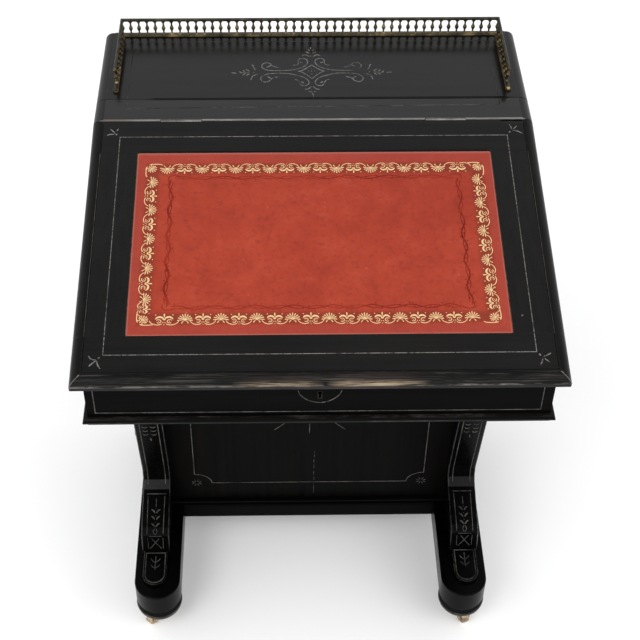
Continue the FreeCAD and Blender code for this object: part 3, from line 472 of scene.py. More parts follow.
def clip_strokes(strokes, lo, hi, axis=1):
    """Parts of the strokes with lo < coordinate < hi, each cut end brought to a point."""
    out = []
    for s in strokes:
        run_p, run_w = [], []
        n = len(s.p)

        def flush():
            if len(run_p) >= 2:
                q, w = np.array(run_p), np.array(run_w)
                q2 = Stroke.__new__(Stroke)
                q2.closed = False
                w = w.copy()
                for end in (0, -1):
                    if w[end] > 0:
                        a, b = (q[0], q[1]) if end == 0 else (q[-1], q[-2])
                        L = np.linalg.norm(b - a)
                        f = min(0.45, 0.5 * w[end] / max(L, 1e-9))
                        mid = a + (b - a) * f
                        if end == 0:
                            q = np.vstack([a, mid, q[1:]])
                            w = np.r_[0.0, w[0], w[1:]]
                        else:
                            q = np.vstack([q[:-1], mid, a])
                            w = np.r_[w[:-1], w[-1], 0.0]
                q2.p, q2.w = q, w
                if np.linalg.norm(q[-1] - q[0]) > 0.3 or len(q) > 4:
                    out.append(q2)
            run_p.clear()
            run_w.clear()
        for i in range(n - 1):
            a, b, wa, wb = s.p[i], s.p[i + 1], s.w[i], s.w[i + 1]
            va, vb = a[axis], b[axis]
            t0, t1 = 0.0, 1.0
            if abs(vb - va) < 1e-9:
                if not lo < va < hi:
                    flush()
                    continue
            else:
                ta, tb = (lo - va) / (vb - va), (hi - va) / (vb - va)
                t0, t1 = max(0.0, min(ta, tb)), min(1.0, max(ta, tb))
                if t0 >= t1 - 1e-9:
                    flush()
                    continue
            if not run_p or t0 > 0:
                flush()
                run_p.append(a + (b - a) * t0)
                run_w.append(wa + (wb - wa) * t0)
            run_p.append(a + (b - a) * t1)
            run_w.append(wa + (wb - wa) * t1)
            if t1 < 1:
                flush()
        if s.closed and run_p and len(run_p) == n:
            out.append(s)
        else:
            flush()
    return out


def stroke_lines(s):
    """Left and right polylines of a stroke, with mitred corners."""
    p, w = s.p, s.w
    n = len(p)
    d = np.diff(p, axis=0)
    ln = np.maximum(np.linalg.norm(d, axis=1), 1e-9)
    d = d / ln[:, None]
    left, right = [], []
    for i in range(n):
        if s.closed and i in (0, n - 1):
            a, b = d[-1], d[0]
        else:
            a, b = d[max(i - 1, 0)], d[min(i, n - 2)]
        t = a + b
        tl = np.linalg.norm(t)
        t = b if tl < 1e-6 else t / tl
        nrm = np.array([-t[1], t[0]])
        k = 1.0 / max(0.45, abs(float(nrm @ np.array([-b[1], b[0]]))))
        off = nrm * (w[i] / 2) * k
        left.append(p[i] + off)
        right.append(p[i] - off)
    return np.array(left), np.array(right)


class Field:
    """Depth of all the strokes together at a point: 1 on a middle line, 0 outside."""

    def __init__(self, strokes):
        A, B, WA, WB = [], [], [], []
        for s in strokes:
            A.append(s.p[:-1])
            B.append(s.p[1:])
            WA.append(s.w[:-1])
            WB.append(s.w[1:])
        self.a, self.b = np.vstack(A), np.vstack(B)
        self.wa, self.wb = np.concatenate(WA), np.concatenate(WB)
        self.wmax = max(self.wa.max(), self.wb.max(), 1e-6)

    def at(self, q):
        q = np.asarray(q, float)
        out = np.zeros(len(q))
        ab = self.b - self.a
        l2 = np.maximum((ab ** 2).sum(1), 1e-12)
        for k in range(0, len(q), 256):
            c = q[k:k + 256]
            ap = c[:, None, :] - self.a[None]
            t = np.clip((ap * ab[None]).sum(2) / l2[None], 0, 1)
            dist = np.linalg.norm(ap - t[..., None] * ab[None], axis=2)
            w = self.wa[None] + (self.wb - self.wa)[None] * t
            val = np.where(w > 1e-6, (1 - 2 * dist / np.maximum(w, 1e-6)) * w / self.wmax, 0)
            out[k:k + 256] = np.clip(val.max(1), 0, 1)
        return out


def cdt(boundary_pts, boundary_edges, strokes, extra=None):
    """Triangles of the plane region with every stroke's lines as edges.
    Returns points, for each the index of the boundary point it is or -1, and triangles."""
    verts = [Vector(p) for p in boundary_pts]
    edges = [tuple(e) for e in boundary_edges]
    nb = len(verts)
    for pts in (extra or []):
        i0 = len(verts)
        verts += [Vector(p) for p in pts]
        edges += [(i0 + k, i0 + k + 1) for k in range(len(pts) - 1)]
    for s in strokes:
        left, right = stroke_lines(s)
        for line in (left, right, s.p):
            i0 = len(verts)
            m = len(line) - (1 if s.closed else 0)
            verts += [Vector((float(q[0]), float(q[1]))) for q in line[:m]]
            edges += [(i0 + k, i0 + k + 1) for k in range(m - 1)]
            if s.closed:
                edges.append((i0 + m - 1, i0))
    v, e, f, ov, oe, of_ = delaunay_2d_cdt(verts, edges, [], 0, 1e-5, True)
    pts = np.array([(q[0], q[1]) for q in v])
    src = [min([i for i in ids if i < nb], default=-1) for ids in ov]
    return pts, src, [tuple(t) for t in f]


def inside(points, segs):
    """Even-odd test of points against boundary segments (Mx2x2)."""
    q = np.asarray(points, float)
    a, b = segs[:, 0], segs[:, 1]
    y = q[:, 1][:, None]
    x = q[:, 0][:, None]
    cond = (a[None, :, 1] > y) != (b[None, :, 1] > y)
    with np.errstate(divide="ignore", invalid="ignore"):
        xi = a[None, :, 0] + (y - a[None, :, 1]) / (b[None, :, 1] - a[None, :, 1]) * (b[None, :, 0] - a[None, :, 0])
    return (np.where(cond, xi > x, False).sum(1) % 2) == 1


# ------------------------------------------------------------------ meshes
def bm_of_node(node, weld=1e-6):
    src = NODES[node].data
    bm = bmesh.new()
    vs = [bm.verts.new(v.co) for v in src.vertices]
    for p in src.polygons:
        try:
            bm.faces.new([vs[i] for i in p.vertices])
        except ValueError:
            pass
    bmesh.ops.remove_doubles(bm, verts=bm.verts, dist=weld)
    return bm


def tidy(bm, limit=0.5):
    bmesh.ops.dissolve_limit(bm, angle_limit=math.radians(limit), verts=bm.verts, edges=bm.edges,
                             use_dissolve_boundaries=False)


def round_edges(bm, offset_mm, segments=2, angle=35.0, keep=None):
    """Rounds every arris sharper than the angle; returns the new faces."""
    es = []
    for e in bm.edges:
        if len(e.link_faces) == 2 and e.calc_face_angle(0) > math.radians(angle):
            if keep is None or keep(e):
                es.append(e)
    if not es:
        return []
    r = bmesh.ops.bevel(bm, geom=es, offset=offset_mm / 1000.0, offset_type="OFFSET", segments=segments,
                        profile=0.5, affect="EDGES", clamp_overlap=True, loop_slide=True)
    return r["faces"]


def engrave(bm, origin, u, v, strokes, depth_mm, cut_index, tol=3e-5):
    """Cuts the strokes, given in mm along u and v from origin, into the flat faces of that plane."""
    if not strokes:
        return
    n = u.cross(v).normalized()
    faces = [f for f in bm.faces if f.normal.dot(n) > 0.9995 and
             all(abs((w.co - origin).dot(n)) < tol for w in f.verts)]
    if not faces:
        print("engrave: no face for the strokes")
        return
    fs = set(faces)
    base_index = faces[0].material_index
    bound = [e for f in faces for e in f.edges if sum(1 for g in e.link_faces if g in fs) == 1]
    bound = list(dict.fromkeys(bound))
    bverts = list(dict.fromkeys(w for e in bound for w in e.verts))
    idx = {w: i for i, w in enumerate(bverts)}
    flat = [((w.co - origin).dot(u) * 1000, (w.co - origin).dot(v) * 1000) for w in bverts]
    edges = [(idx[e.verts[0]], idx[e.verts[1]]) for e in bound]
    segs = np.array([[flat[a], flat[b]] for a, b in edges])
    pts, src, tris = cdt(flat, edges, strokes)
    field = Field(strokes)
    depth = field.at(pts)
    depth[depth < 0.02] = 0
    tri = np.array(tris)
    cen = pts[tri].mean(1)
    keep = inside(cen, segs)
    cdep = field.at(cen)
    bmesh.ops.delete(bm, geom=faces, context="FACES")
    made = []
    for i, q in enumerate(pts):
        if src[i] >= 0 and bverts[src[i]].is_valid:
            made.append(bverts[src[i]])
        else:
            co = origin + u * (q[0] / 1000) + v * (q[1] / 1000) - n * (depth[i] * depth_mm / 1000)
            made.append(bm.verts.new(co))
    for t, ok, cd in zip(tris, keep, cdep):
        if not ok:
            continue
        vs = [made[i] for i in t]
        if len(set(vs)) < 3:
            continue
        try:
            f = bm.faces.new(vs)
        except ValueError:
            continue
        f.normal_update()
        if f.normal.dot(n) < 0:
            f.normal_flip()
        f.material_index = cut_index if cd > 0.03 else base_index
    loose = [w for w in made if w.is_valid and not w.link_faces]
    if loose:
        bmesh.ops.delete(bm, geom=loose, context="VERTS")


def finish_mesh(bm, name, body, mats, replaces=(), sharp=38.0, weighted=True, cut=None):
    bm.normal_update()
    for f in bm.faces:
        f.smooth = True
    for e in bm.edges:
        if len(e.link_faces) == 2:
            a, b = e.link_faces
            hard = e.calc_face_angle(0) > math.radians(sharp)
            if cut is not None and (a.material_index == cut) != (b.material_index == cut):
                hard = True
            e.smooth = not hard
    me = bpy.data.meshes.new(name)
    bm.to_mesh(me)
    bm.free()
    for m in mats:
        me.materials.append(m)
    o = bpy.data.objects.new(name, me)
    bpy.context.scene.collection.objects.link(o)
    if weighted:
        w = o.modifiers.new("normals", "WEIGHTED_NORMAL")
        w.mode = "FACE_AREA"
        w.weight = 50
        w.keep_sharp = True
    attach(o, body)
    if replaces:
        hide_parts(*replaces)
    return o


def body_of_node(n):
    return NODES[n]["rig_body"]


def refine(node, mats, bevel=0.7, segs=2, edge=1, cuts=(), classify=None, angle=35.0, keep=None, sharp=38.0,
           cut=None, relabel=None):
    """The CAD node again with rounded arrises, its own finish on them, and its incised lines.
    mats: main, worn arris, cut lines, then any others that classify(face) may give."""
    bm = bm_of_node(node)
    tidy(bm)
    bm.normal_update()
    new = round_edges(bm, bevel, segs, angle, keep) if bevel else []
    bm.normal_update()
    for f in new:
        if f.is_valid:
            f.material_index = edge
    if classify:
        fresh = set(f for f in new if f.is_valid)
        for f in bm.faces:
            k = classify(f, f in fresh)
            if k is not None:
                f.material_index = k
    for c in cuts:
        engrave(bm, cut_index=cut if cut is not None else 2, **c)
    if relabel:
        for f in bm.faces:
            if f.material_index == 2:
                k = relabel(f.calc_center_median())
                if k is not None:
                    f.material_index = k
    return finish_mesh(bm, node + ".finished", body_of_node(node), mats, (node,), sharp=sharp,
                       cut=cut if cut is not None else 2)


def paint(node, *mats):
    o = NODES[node]
    if not o.material_slots:
        o.data.materials.append(mats[0])
    for i, s in enumerate(o.material_slots):
        s.material = mats[min(i, len(mats) - 1)]


X, Y, Z = Vector((1, 0, 0)), Vector((0, 1, 0)), Vector((0, 0, 1))
LS = Vector((0, CL, SL))          # up the slope
LT = Vector((0, -SL, CL))         # out of the lid

# ------------------------------------------------------------------ writing lid
def frame_lines(x0, x1, y0, y1, w=1.05):
    return Stroke([(x0, y0), (x1, y0), (x1, y1), (x0, y1)], w=w, closed=True)


lid_lines = [frame_lines(-239.2, 239.2, 36.7, 355.2, 0.85)]
_lf = lambda u: 0.40 + 0.60 * math.sin(math.pi * min(1.0, 0.15 + u * 0.9))
lid_sprigs = []
for arms in ([[(-243.4, 33.0), (-243.2, 33.5)], [(-255.3, 36.6), (-252.5, 32.7), (-248.8, 30.9), (-245.6, 30.6)], [(-253.8, 22.2), (-249.7, 26.4), (-245.5, 30.2)],
              [(-245.5, 29.9), (-244.4, 25.7), (-242.6, 21.5), (-240.0, 18.7)]],
             [[(241.3, 34.3), (243.3, 31.5)], [(255.0, 35.3), (250.9, 32.5), (245.3, 30.2)], [(246.7, 28.4), (249.5, 25.3), (252.4, 22.5)],
              [(245.2, 29.4), (243.9, 24.3), (241.0, 18.7)]],
             [[(242.6, 360.0), (242.9, 360.6)], [(243.6, 373.6), (244.8, 369.6), (246.2, 363.8)], [(247.4, 364.9), (250.6, 368.0), (253.3, 370.8)],
              [(246.0, 363.0), (252.2, 361.7), (255.3, 359.9), (258.7, 357.3)]],
             [[(-244.0, 359.4), (-243.8, 359.9)], [(-255.8, 357.8), (-251.9, 359.8), (-244.9, 360.2)], [(-252.0, 368.9), (-248.2, 364.7), (-244.7, 360.7)],
              [(-241.7, 369.7), (-243.1, 366.7), (-244.0, 364.6)]]):
    for k, a in enumerate(arms):
        if k == 0:
            (x0, y0), (x1, y1) = a
            L = math.hypot(x1 - x0, y1 - y0)
            if L < 1.5:
                mx, my = (x0 + x1) / 2, (y0 + y1) / 2
                a = [(mx - 1.0, my - 1.0), (mx, my), (mx + 1.0, my + 1.0)]
            lid_sprigs.append(Stroke(a, w=1.9, taper=0.9))
        else:
            lid_sprigs.append(Stroke(a, w=1.35, smooth=True, step=1.2, taper=1.6, shape=_lf))
lid_nick = [Stroke([(227.4, 84.0), (229.6, 86.5)], w=1.5, taper=1.0)]
top_face = dict(origin=LID(0, 0, 15.1), u=X, v=LS, depth_mm=0.55)
# a chip in the lid's back edge at the right; its cut takes the near-black joint finish, painted shade of the gap behind
# it
lid_chip = [Stroke([(232.5, 379.8), (240.0, 379.4), (246.0, 379.8), (253.0, 379.4), (261.3, 379.5)], w=3.0, smooth=True, step=2.0, taper=1.5)]


def lid_class(f, arris):
    x, s, t = to_lid(f.calc_center_median())
    if arris:
        if t > 13.5 and (s > 378 or 328.6 < s < 330.8):
            return 5
        if t > 13.5 and 60.4 < s < 62.8:
            return 0
        return None
    if t > 14.8 and abs(x) < 262.5 and 12.6 < s < 381.5:
        return None
    if s > 380 and t > 8:
        return 5
    if s < 13.3 and 0.2 < t < 14.9:
        return 3
    if abs(x) > 261.4 and 0.2 < t < 14.9:
        return 4
    return None


rub_and_highlight_x = moulding_wear_and_highlight("x")
side_y = ebony("y", 0.12, 0.30, 0.6, shift=0.2)
side_deck = ebony("y", 0.20, 0.34, 0.9, shift=0.2)
joint = shadow_gap("open_joint")
# quirk: the fine groove between the ovolo and the flat, on the three outer sides; its cut takes the near-black joint
# finish, dirt and painted shade in the crease
quirk = [Stroke([(-261.2, 377.0), (-261.2, 13.9), (261.2, 13.9), (261.2, 377.0)], w=0.85, taper=2)]
# a groove along the leather's upper edge in the near-black joint finish: painted shadow where the skin meets the rail
leather_gap = [Stroke([(-215.0, 330.75), (0.0, 330.75), (215.0, 330.75)], w=1.15, taper=3)]
LID_SPEC = 0.21
lid_x = ebony("x", LID_SPEC, 0.24, 0.7)
lid_y = ebony("y", LID_SPEC, 0.24, 0.7, shift=0.37)
refine("lid_rails", [lid_x, worn_edge("x", 1.35, 0.3), incised("x", 0.85), rub_and_highlight_x, side_y, joint],
       bevel=0.45, classify=lid_class,
       cuts=[dict(top_face, strokes=clip_strokes(lid_lines, 15, 61.2) + clip_strokes(lid_lines, 330.1, 378)
                  + clip_strokes(quirk, 13.0, 61.2) + clip_strokes(quirk, 330.1, 376.0) + lid_sprigs + lid_chip + leather_gap)],
       relabel=lambda c: 5 if (c.x > 0.2315 and to_lid(c)[1] > 377.0) or abs(c.x) > 0.2604 or to_lid(c)[1] < 14.6
       or (abs(c.x) < 0.2165 and 329.8 < to_lid(c)[1] < 331.6) else None)
refine("lid_stiles", [lid_y, worn_edge("y", 1.10, 0.3), incised("y", 0.85), rub_and_highlight_x, side_y, joint],
       bevel=0.45, classify=lid_class,
       cuts=[dict(top_face, strokes=clip_strokes(lid_lines, 62.2, 329.1) + clip_strokes(quirk, 62.2, 329.1) + lid_nick)],
       relabel=lambda c: 5 if abs(c.x) > 0.2604 else None)
paint("lid_core", wood("pine_core", (0.42, 0.25, 0.12), (0.22, 0.11, 0.05), "x"))

# ------------------------------------------------------------------ leather with its tooled border
LX, LS0, LS1 = 215.8, 61.9, 329.4


def swell(x, s):
    """The leather isn't dead flat: a slow rise and fall of a few hundredths of a millimetre."""
    a = math.sin(x * 0.031 + 0.6) * math.sin(s * 0.043 + 1.1) + 0.6 * math.sin(x * 0.071 - s * 0.052)
    return 14.78 + 0.045 * a


def leather_height(x, s):
    d = min(LX - abs(x), s - LS0, LS1 - s)
    k = max(0.0, min(1.0, d / 1.8))
    return 14.42 + (swell(x, s) - 14.42) * math.sin(k * math.pi / 2) ** 0.8


def leather_mesh():
    def ticks(a, b, step):
        near = [0.0, 0.15, 0.4, 0.8, 1.3, 1.9, 2.8, 4.2]
        n = int((b - a - 8.4) / step)
        mid = [a + 4.2 + (b - a - 8.4) * i / n for i in range(1, n)]
        return [a + t for t in near] + mid + [b - t for t in reversed(near)]
    xs, ss = ticks(-LX, LX, 6.0), ticks(LS0, LS1, 6.0)
    cr = 2.6
    bm = bmesh.new()
    g = []
    for s in ss:
        row = []
        for x in xs:
            dx, ds = abs(x) - (LX - cr), max((LS0 + cr) - s, s - (LS1 - cr))
            px, ps = x, s
            if dx > 0 and ds > 0:
                L = math.hypot(dx, ds)
                m = max(dx, ds)
                k = m / L if L > 0 else 1
                px = math.copysign((LX - cr) + dx * k, x)
                ps = s + (ds * k - ds) * (1 if s > (LS0 + LS1) / 2 else -1)
            row.append(bm.verts.new(LID(px, ps, leather_height(x, s))))
        g.append(row)
    for j in range(len(ss) - 1):
        for i in range(len(xs) - 1):
            bm.faces.new([g[j][i], g[j][i + 1], g[j + 1][i + 1], g[j + 1][i]])
    ring = g[0][:] + [r[-1] for r in g[1:]] + g[-1][-2::-1] + [r[0] for r in g[-2:0:-1]]
    low = []
    for v in ring:
        x, s, t = to_lid(v.co)
        low.append(bm.verts.new(LID(x, s, 13.64)))
    n = len(ring)
    for i in range(n):
        f = bm.faces.new([ring[(i + 1) % n], ring[i], low[i], low[(i + 1) % n]])
        f.material_index = 1
    bm.faces.new(low[::-1]).material_index = 1
    bmesh.ops.recalc_face_normals(bm, faces=bm.faces)
    return bm


def leather_material():
    m = Mat("red_leather")
    x = m.dot((1, 0, 0))
    s = m.dot((0, CL, SL))
    # s along the slope in metres: row y and z back to the lid frame
    s0 = MID / 1000 * CL - 0.7187 * SL
    s = m.math("ADD", s, s0)
    ax = m.math("ABSOLUTE", x)
    ex = m.math("SUBTRACT", ax, 0.1885)
    es = m.math("SUBTRACT", m.math("ABSOLUTE", m.math("SUBTRACT", s, 0.1940)), 0.1018)
    out = m.math("MAXIMUM", ex, es)                      # > 0 in the border band and beyond it
    cloud = m.noise(m.mapped((5.2, 5.2, 5.2), (0, 0, 0), (3.1, 0.4, 0)), 1.0, 5, 0.60, 0.35)
    blotch = m.noise(m.mapped((34, 34, 34)), 1.0, 6, 0.66, 0.25)
    fleck = m.noise(m.mapped((170, 170, 170)), 1.0, 4, 0.62)
    vor = m.new("ShaderNodeTexVoronoi")
    vor.feature = "DISTANCE_TO_EDGE"
    vor.inputs["Scale"].default_value = 820
    m.link(m.co, vor.inputs["Vector"])
    cell = vor.outputs["Distance"]
    base = m.ramp(cloud, [(0.28, (0.255, 0.0245, 0.0110)), (0.50, (0.305, 0.0325, 0.0135)), (0.74, (0.345, 0.0430, 0.0190))])
    base = m.mix(m.math("MULTIPLY", m.span(blotch, 0.50, 0.72), 0.48), base, (0.195, 0.0170, 0.0080))
    base = m.mix(m.math("MULTIPLY", m.span(blotch, 0.46, 0.28), 0.42), base, (0.400, 0.0640, 0.0330))
    base = m.mix(m.math("MULTIPLY", m.span(fleck, 0.52, 0.70), 0.50), base, (0.175, 0.0180, 0.0100))
    # outside the border the leather is a little greyer and pinker
    margin = m.span(out, 0.0140, 0.0195)
    base = m.mix(m.math("MULTIPLY", margin, 0.50), base, (0.262, 0.038, 0.027))
    band = m.math("MULTIPLY", m.span(out, -0.0026, 0.0030), m.span(out, 0.0178, 0.0130))
    base = m.mix(m.math("MULTIPLY", band, 0.62), base, (0.125, 0.0190, 0.0070))
    # small pale rubs
    spots = m.new("ShaderNodeTexVoronoi")
    spots.inputs["Scale"].default_value = 46
    m.link(m.co, spots.inputs["Vector"])
    pale = m.math("MULTIPLY", m.span(spots.outputs["Distance"], 0.085, 0.035), m.span(cloud, 0.50, 0.66))
    base = m.mix(m.math("MULTIPLY", pale, 0.55), base, (0.66, 0.27, 0.17))
    # the cut edge of the skin, paler: partly rubbed, partly a painted highlight
    edge = m.math("MINIMUM", m.math("SUBTRACT", 0.2158, ax),
                  m.math("SUBTRACT", 0.13375, m.math("ABSOLUTE", m.math("SUBTRACT", s, 0.19565))))
    rim = m.math("MULTIPLY", m.span(edge, 0.0022, 0.0009), m.span(blotch, 0.26, 0.46))
    base = m.mix(m.math("MULTIPLY", rim, 0.50), base, (0.35, 0.135, 0.098))
    # a wider pinkish band along the upper edge by the lid's upper rail: a painted highlight
    upper = m.span(s, 0.3248, 0.3284)
    base = m.mix(m.math("MULTIPLY", upper, 0.38), base, (0.37, 0.145, 0.125))
    grain = m.span(cell, 0.0, 0.22)
    nrm = m.bump(m.math("ADD", m.math("MULTIPLY", grain, 0.8), m.math("MULTIPLY", fleck, 0.9)), 0.00020, 0.55)
    m.set(Base_Color=base, Roughness=m.span(blotch, 0.25, 0.75, 0.48, 0.62), Normal=nrm, Specular_IOR_Level=0.16)
    m.b.inputs["Sheen Weight"].default_value = 0.03
    m.b.inputs["Sheen Roughness"].default_value = 0.5
    return m.view((0.44, 0.06, 0.035))


leather = leather_material()
lb = leather_mesh()
finish_mesh(lb, "writing_leather.skin", "lid", [leather, leather], ("writing_leather",), sharp=60, cut=None)


def flat_union(strokes):
    """Points and triangles of the strokes' own area, in their plane."""
    pts, src, tris = cdt([], [], strokes)
    field = Field(strokes)
    tri = np.array(tris)
    cen = pts[tri].mean(1)
    ok = field.at(cen) > 0.01
    return pts, tri[ok], field.at(pts)


def palmette():
    """Open fan of nine rays with two ears. y is 0 at the inner edge of the band, 16 at the outer."""
    out = []
    cy = 8.9
    grow = lambda u: 0.30 + 0.70 * min(1.0, u * 1.15)
    for ang, r in ((0, 8.6), (24, 8.4), (48, 8.4), (71, 8.7), (94, 9.0)):
        for sgn in ((1,) if ang == 0 else (1, -1)):
            a = math.radians(ang)
            dx, dy = sgn * math.sin(a), -math.cos(a)
            bow = 0.5 * sgn * (ang / 90.0)
            out.append(Stroke([(dx * 0.5, cy + dy * 0.5), (dx * r * 0.55, cy + dy * r * 0.55 - abs(bow) * 0.5), (dx * r, cy + dy * r)],
                              w=1.30, smooth=True, step=1.5, taper=0.7, shape=grow))
    for sgn in (1, -1):
        out.append(Stroke([(sgn * 0.8, cy + 0.9), (sgn * 2.6, cy + 2.4), (sgn * 4.0, cy + 4.9)], w=1.2, smooth=True, step=1.5, taper=0.8, shape=grow))
    out.append(Stroke([(-1.3, 9.5), (0, 8.9), (1.3, 9.5)], w=1.7, smooth=True, step=1.2, taper=0.8))
    return out


def scroll_unit():
    """Between two palmettes: outer arcs, two ring scrolls, a pair of horns with a drop, and dots."""
    out = []
    for sgn in (1, -1):
        arc = [(14.9, 9.4), (14.0, 11.6), (11.6, 14.0), (7.6, 15.4), (4.2, 15.0), (1.9, 13.7)]
        out.append(Stroke([(sgn * a, b) for a, b in arc], w=1.05, smooth=True, step=1.2, taper=1.2,
                          shape=lambda u: 0.75 + 0.25 * u))
        ring = [(sgn * (5.6 + 2.5 * math.cos(a)), 10.5 + 2.3 * math.sin(a)) for a in [math.radians(40 + 33 * k) for k in range(10)]]
        out.append(Stroke(ring, w=0.85, smooth=True, step=1.0, taper=0.8))
        out.append(Stroke([(sgn * 5.0, 10.4), (sgn * 5.6, 10.5), (sgn * 6.2, 10.4)], w=1.0, taper=0.5))
        horn = [(0.2, 7.4), (1.5, 6.1), (3.6, 4.9), (6.0, 5.0), (7.9, 6.3), (9.1, 8.2)]
        out.append(Stroke([(sgn * a, b) for a, b in horn], w=2.3, smooth=True, step=0.9, taper=1.8,
                          shape=lambda u: 0.60 + 0.40 * math.sin(math.pi * min(1.0, u * 1.15))))
        out.append(Stroke([(sgn * 8.6, 1.3), (sgn * 8.6, 2.0), (sgn * 8.6, 2.7)], w=1.7, taper=0.65))
        out.append(Stroke([(sgn * 1.7, 13.1), (sgn * 1.2, 12.2), (sgn * 0.5, 11.4)], w=1.0, smooth=True, step=0.8, taper=0.8))
    out.append(Stroke([(0, 0.3), (0, 1.6), (0, 3.9), (0, 5.4)], w=1.9, taper=0.8, shape=lambda u: 1.0 - 0.55 * u))
    out.append(Stroke([(-1.6, 7.6), (0, 8.4), (1.6, 7.6)], w=1.6, smooth=True, step=0.8, taper=0.8))
    out.append(Stroke([(0, 14.4), (0, 15.0), (0, 15.6)], w=1.3, taper=0.55))
    return out


def corner_fan():
    """Corner: a short fan opening to the outer edge of the skin, with a scroll on each shoulder."""
    out = []
    for i, a in enumerate((-80, -54, -27, 0, 27, 54, 80)):
        r = 7.4 - 0.3 * abs(i - 3)
        c, s = math.sin(math.radians(a)), -math.cos(math.radians(a))
        out.append(Stroke([(c * 0.6, 2.2 + s * 0.6), (c * r * 0.6, 2.2 + s * r * 0.6), (c * r, 2.2 + s * r)], w=1.45,
                          smooth=True, step=1.5, taper=0.7, shape=lambda u: 0.3 + 0.7 * u))
    out.append(Stroke([(-1.3, 2.9), (0, 2.3), (1.3, 2.9)], w=1.7, smooth=True, step=1.0, taper=0.8))
    for sgn in (1, -1):
        ring = [(sgn * (3.7 + 1.6 * math.cos(b)), 4.3 + 1.5 * math.sin(b)) for b in [math.radians(40 + 33 * k) for k in range(10)]]
        out.append(Stroke(ring, w=0.85, smooth=True, step=1.0, taper=0.8))
        # the shoulder runs on along the side to the next palmette
        out.append(Stroke([(sgn * 13.4, -4.6), (sgn * 12.0, -1.4), (sgn * 9.6, 1.6), (sgn * 6.8, 4.5), (sgn * 4.0, 6.9), (sgn * 1.2, 7.9)], w=1.05,
                          smooth=True, step=1.0, taper=1.2))
    out.append(Stroke([(0, 3.6), (0, 5.0), (0, 6.6)], w=1.5, taper=1.0))
    return out


gold = Mat("gilt_tooling")
_a = gold.noise(gold.mapped((130,) * 3), 1.0, 4, 0.65)
_b = gold.noise(gold.mapped((900,) * 3), 1.0, 3, 0.7)
_rub = gold.math("MULTIPLY", gold.span(_a, 0.50, 0.66), gold.span(_b, 0.42, 0.62))
gold.set(Base_Color=gold.mix(gold.math("MULTIPLY", _rub, 0.75), gold.ramp(_b, [(0.3, (0.60, 0.38, 0.17)), (0.7, (0.84, 0.61, 0.33))]),
                             (0.62, 0.27, 0.15)),
         Metallic=gold.span(_rub, 0, 1, 0.22, 0.0), Roughness=gold.span(_a, 0.3, 0.7, 0.34, 0.5))
gold = gold.view((0.85, 0.6, 0.3))
blind = Mat("blind_tooling")
_a = blind.noise(blind.mapped((24,) * 3), 1.0, 4, 0.6)
_b = blind.noise(blind.mapped((240,) * 3), 1.0, 3, 0.65)
blind.set(Base_Color=blind.mix(blind.math("MULTIPLY", blind.span(_a, 0.40, 0.58), blind.span(_b, 0.30, 0.55)),
                               (0.225, 0.0220, 0.0100), (0.125, 0.0100, 0.0055)), Roughness=0.55, Specular_IOR_Level=0.08)
blind = blind.view((0.2, 0.02, 0.015))


def on_leather(name, parts, mat, lift):
    """parts: list of (points, triangles, map from the part's plane to (x, s))."""
    bm = bmesh.new()
    for pts, tri, fn in parts:
        vs = []
        for q in pts:
            x, s = fn(q)
            vs.append((x, s))
        used = sorted(set(tri.ravel().tolist()))
        made = {i: bm.verts.new(LID(vs[i][0], vs[i][1], leather_height(vs[i][0], vs[i][1]) + lift)) for i in used}
        for t in tri:
            a, b, c = (made[int(i)] for i in t)
            f = bm.faces.new((a, b, c))
            f.normal_update()
            if f.normal.dot(LT) < 0:
                f.normal_flip()
    return finish_mesh(bm, name, "lid", [mat], (), sharp=60, weighted=False, cut=None)


def tooled_border():
    pal, unit, corner = flat_union(palmette()), flat_union(scroll_unit()), flat_union(corner_fan())
    parts = []
    XO, ST, SB = 204.7, 311.6, 75.9

    def add(kind, fn):
        parts.append((kind[0], kind[1], fn))
    top = [-197, -179, -136.8, -95.9, -54.8, -13.7, 26.3, 67.5, 108.2, 149.5, 197]
    bottom = [-197, -150.3, -110.1, -69.9, -29.7, 11.4, 51.0, 90.9, 131.5, 172.2, 197]
    left = [84, 111.5, 154.9, 197.5, 240.5, 283, 303.5]
    right = [84, 121.0, 163.5, 206.0, 248.5, 284.5, 303.5]

    def run(stops, place):
        for i, c in enumerate(stops):
            if 0 < i < len(stops) - 1:
                j = rng.uniform(-0.35, 0.35)
                add(pal, lambda q, c=c, j=j: place(c + q[0], q[1] + j))
            if i + 1 < len(stops):
                g = stops[i + 1] - c
                if g > 25:
                    k, m = min(1.12, g / 41.0), (c + stops[i + 1]) / 2
                    j = rng.uniform(-0.3, 0.3)
                    add(unit, lambda q, k=k, m=m, j=j: place(m + q[0] * k, q[1] + j))
    run(top, lambda a, b: (a, ST - 16.0 + b))
    run(bottom, lambda a, b: (a, SB + 16.0 - b))
    run(left, lambda a, b: (-XO + 16.0 - b, a))
    run(right, lambda a, b: (XO - 16.0 + b, a))
    h = math.sqrt(0.5)
    for cx, cs, sx, ss in ((-196.6, 303.4, 1, 1), (196.6, 303.4, -1, 1), (-196.6, 84.2, 1, -1), (196.6, 84.2, -1, -1)):
        # the fan's own -y axis points to the middle of the desk
        add(corner, lambda q, cx=cx, cs=cs, sx=sx, ss=ss: (cx + sx * (-(q[1]) * h + q[0] * h) , cs + ss * (q[1] * h + q[0] * h)))
    on_leather("gilt_border", parts, gold, 0.030)


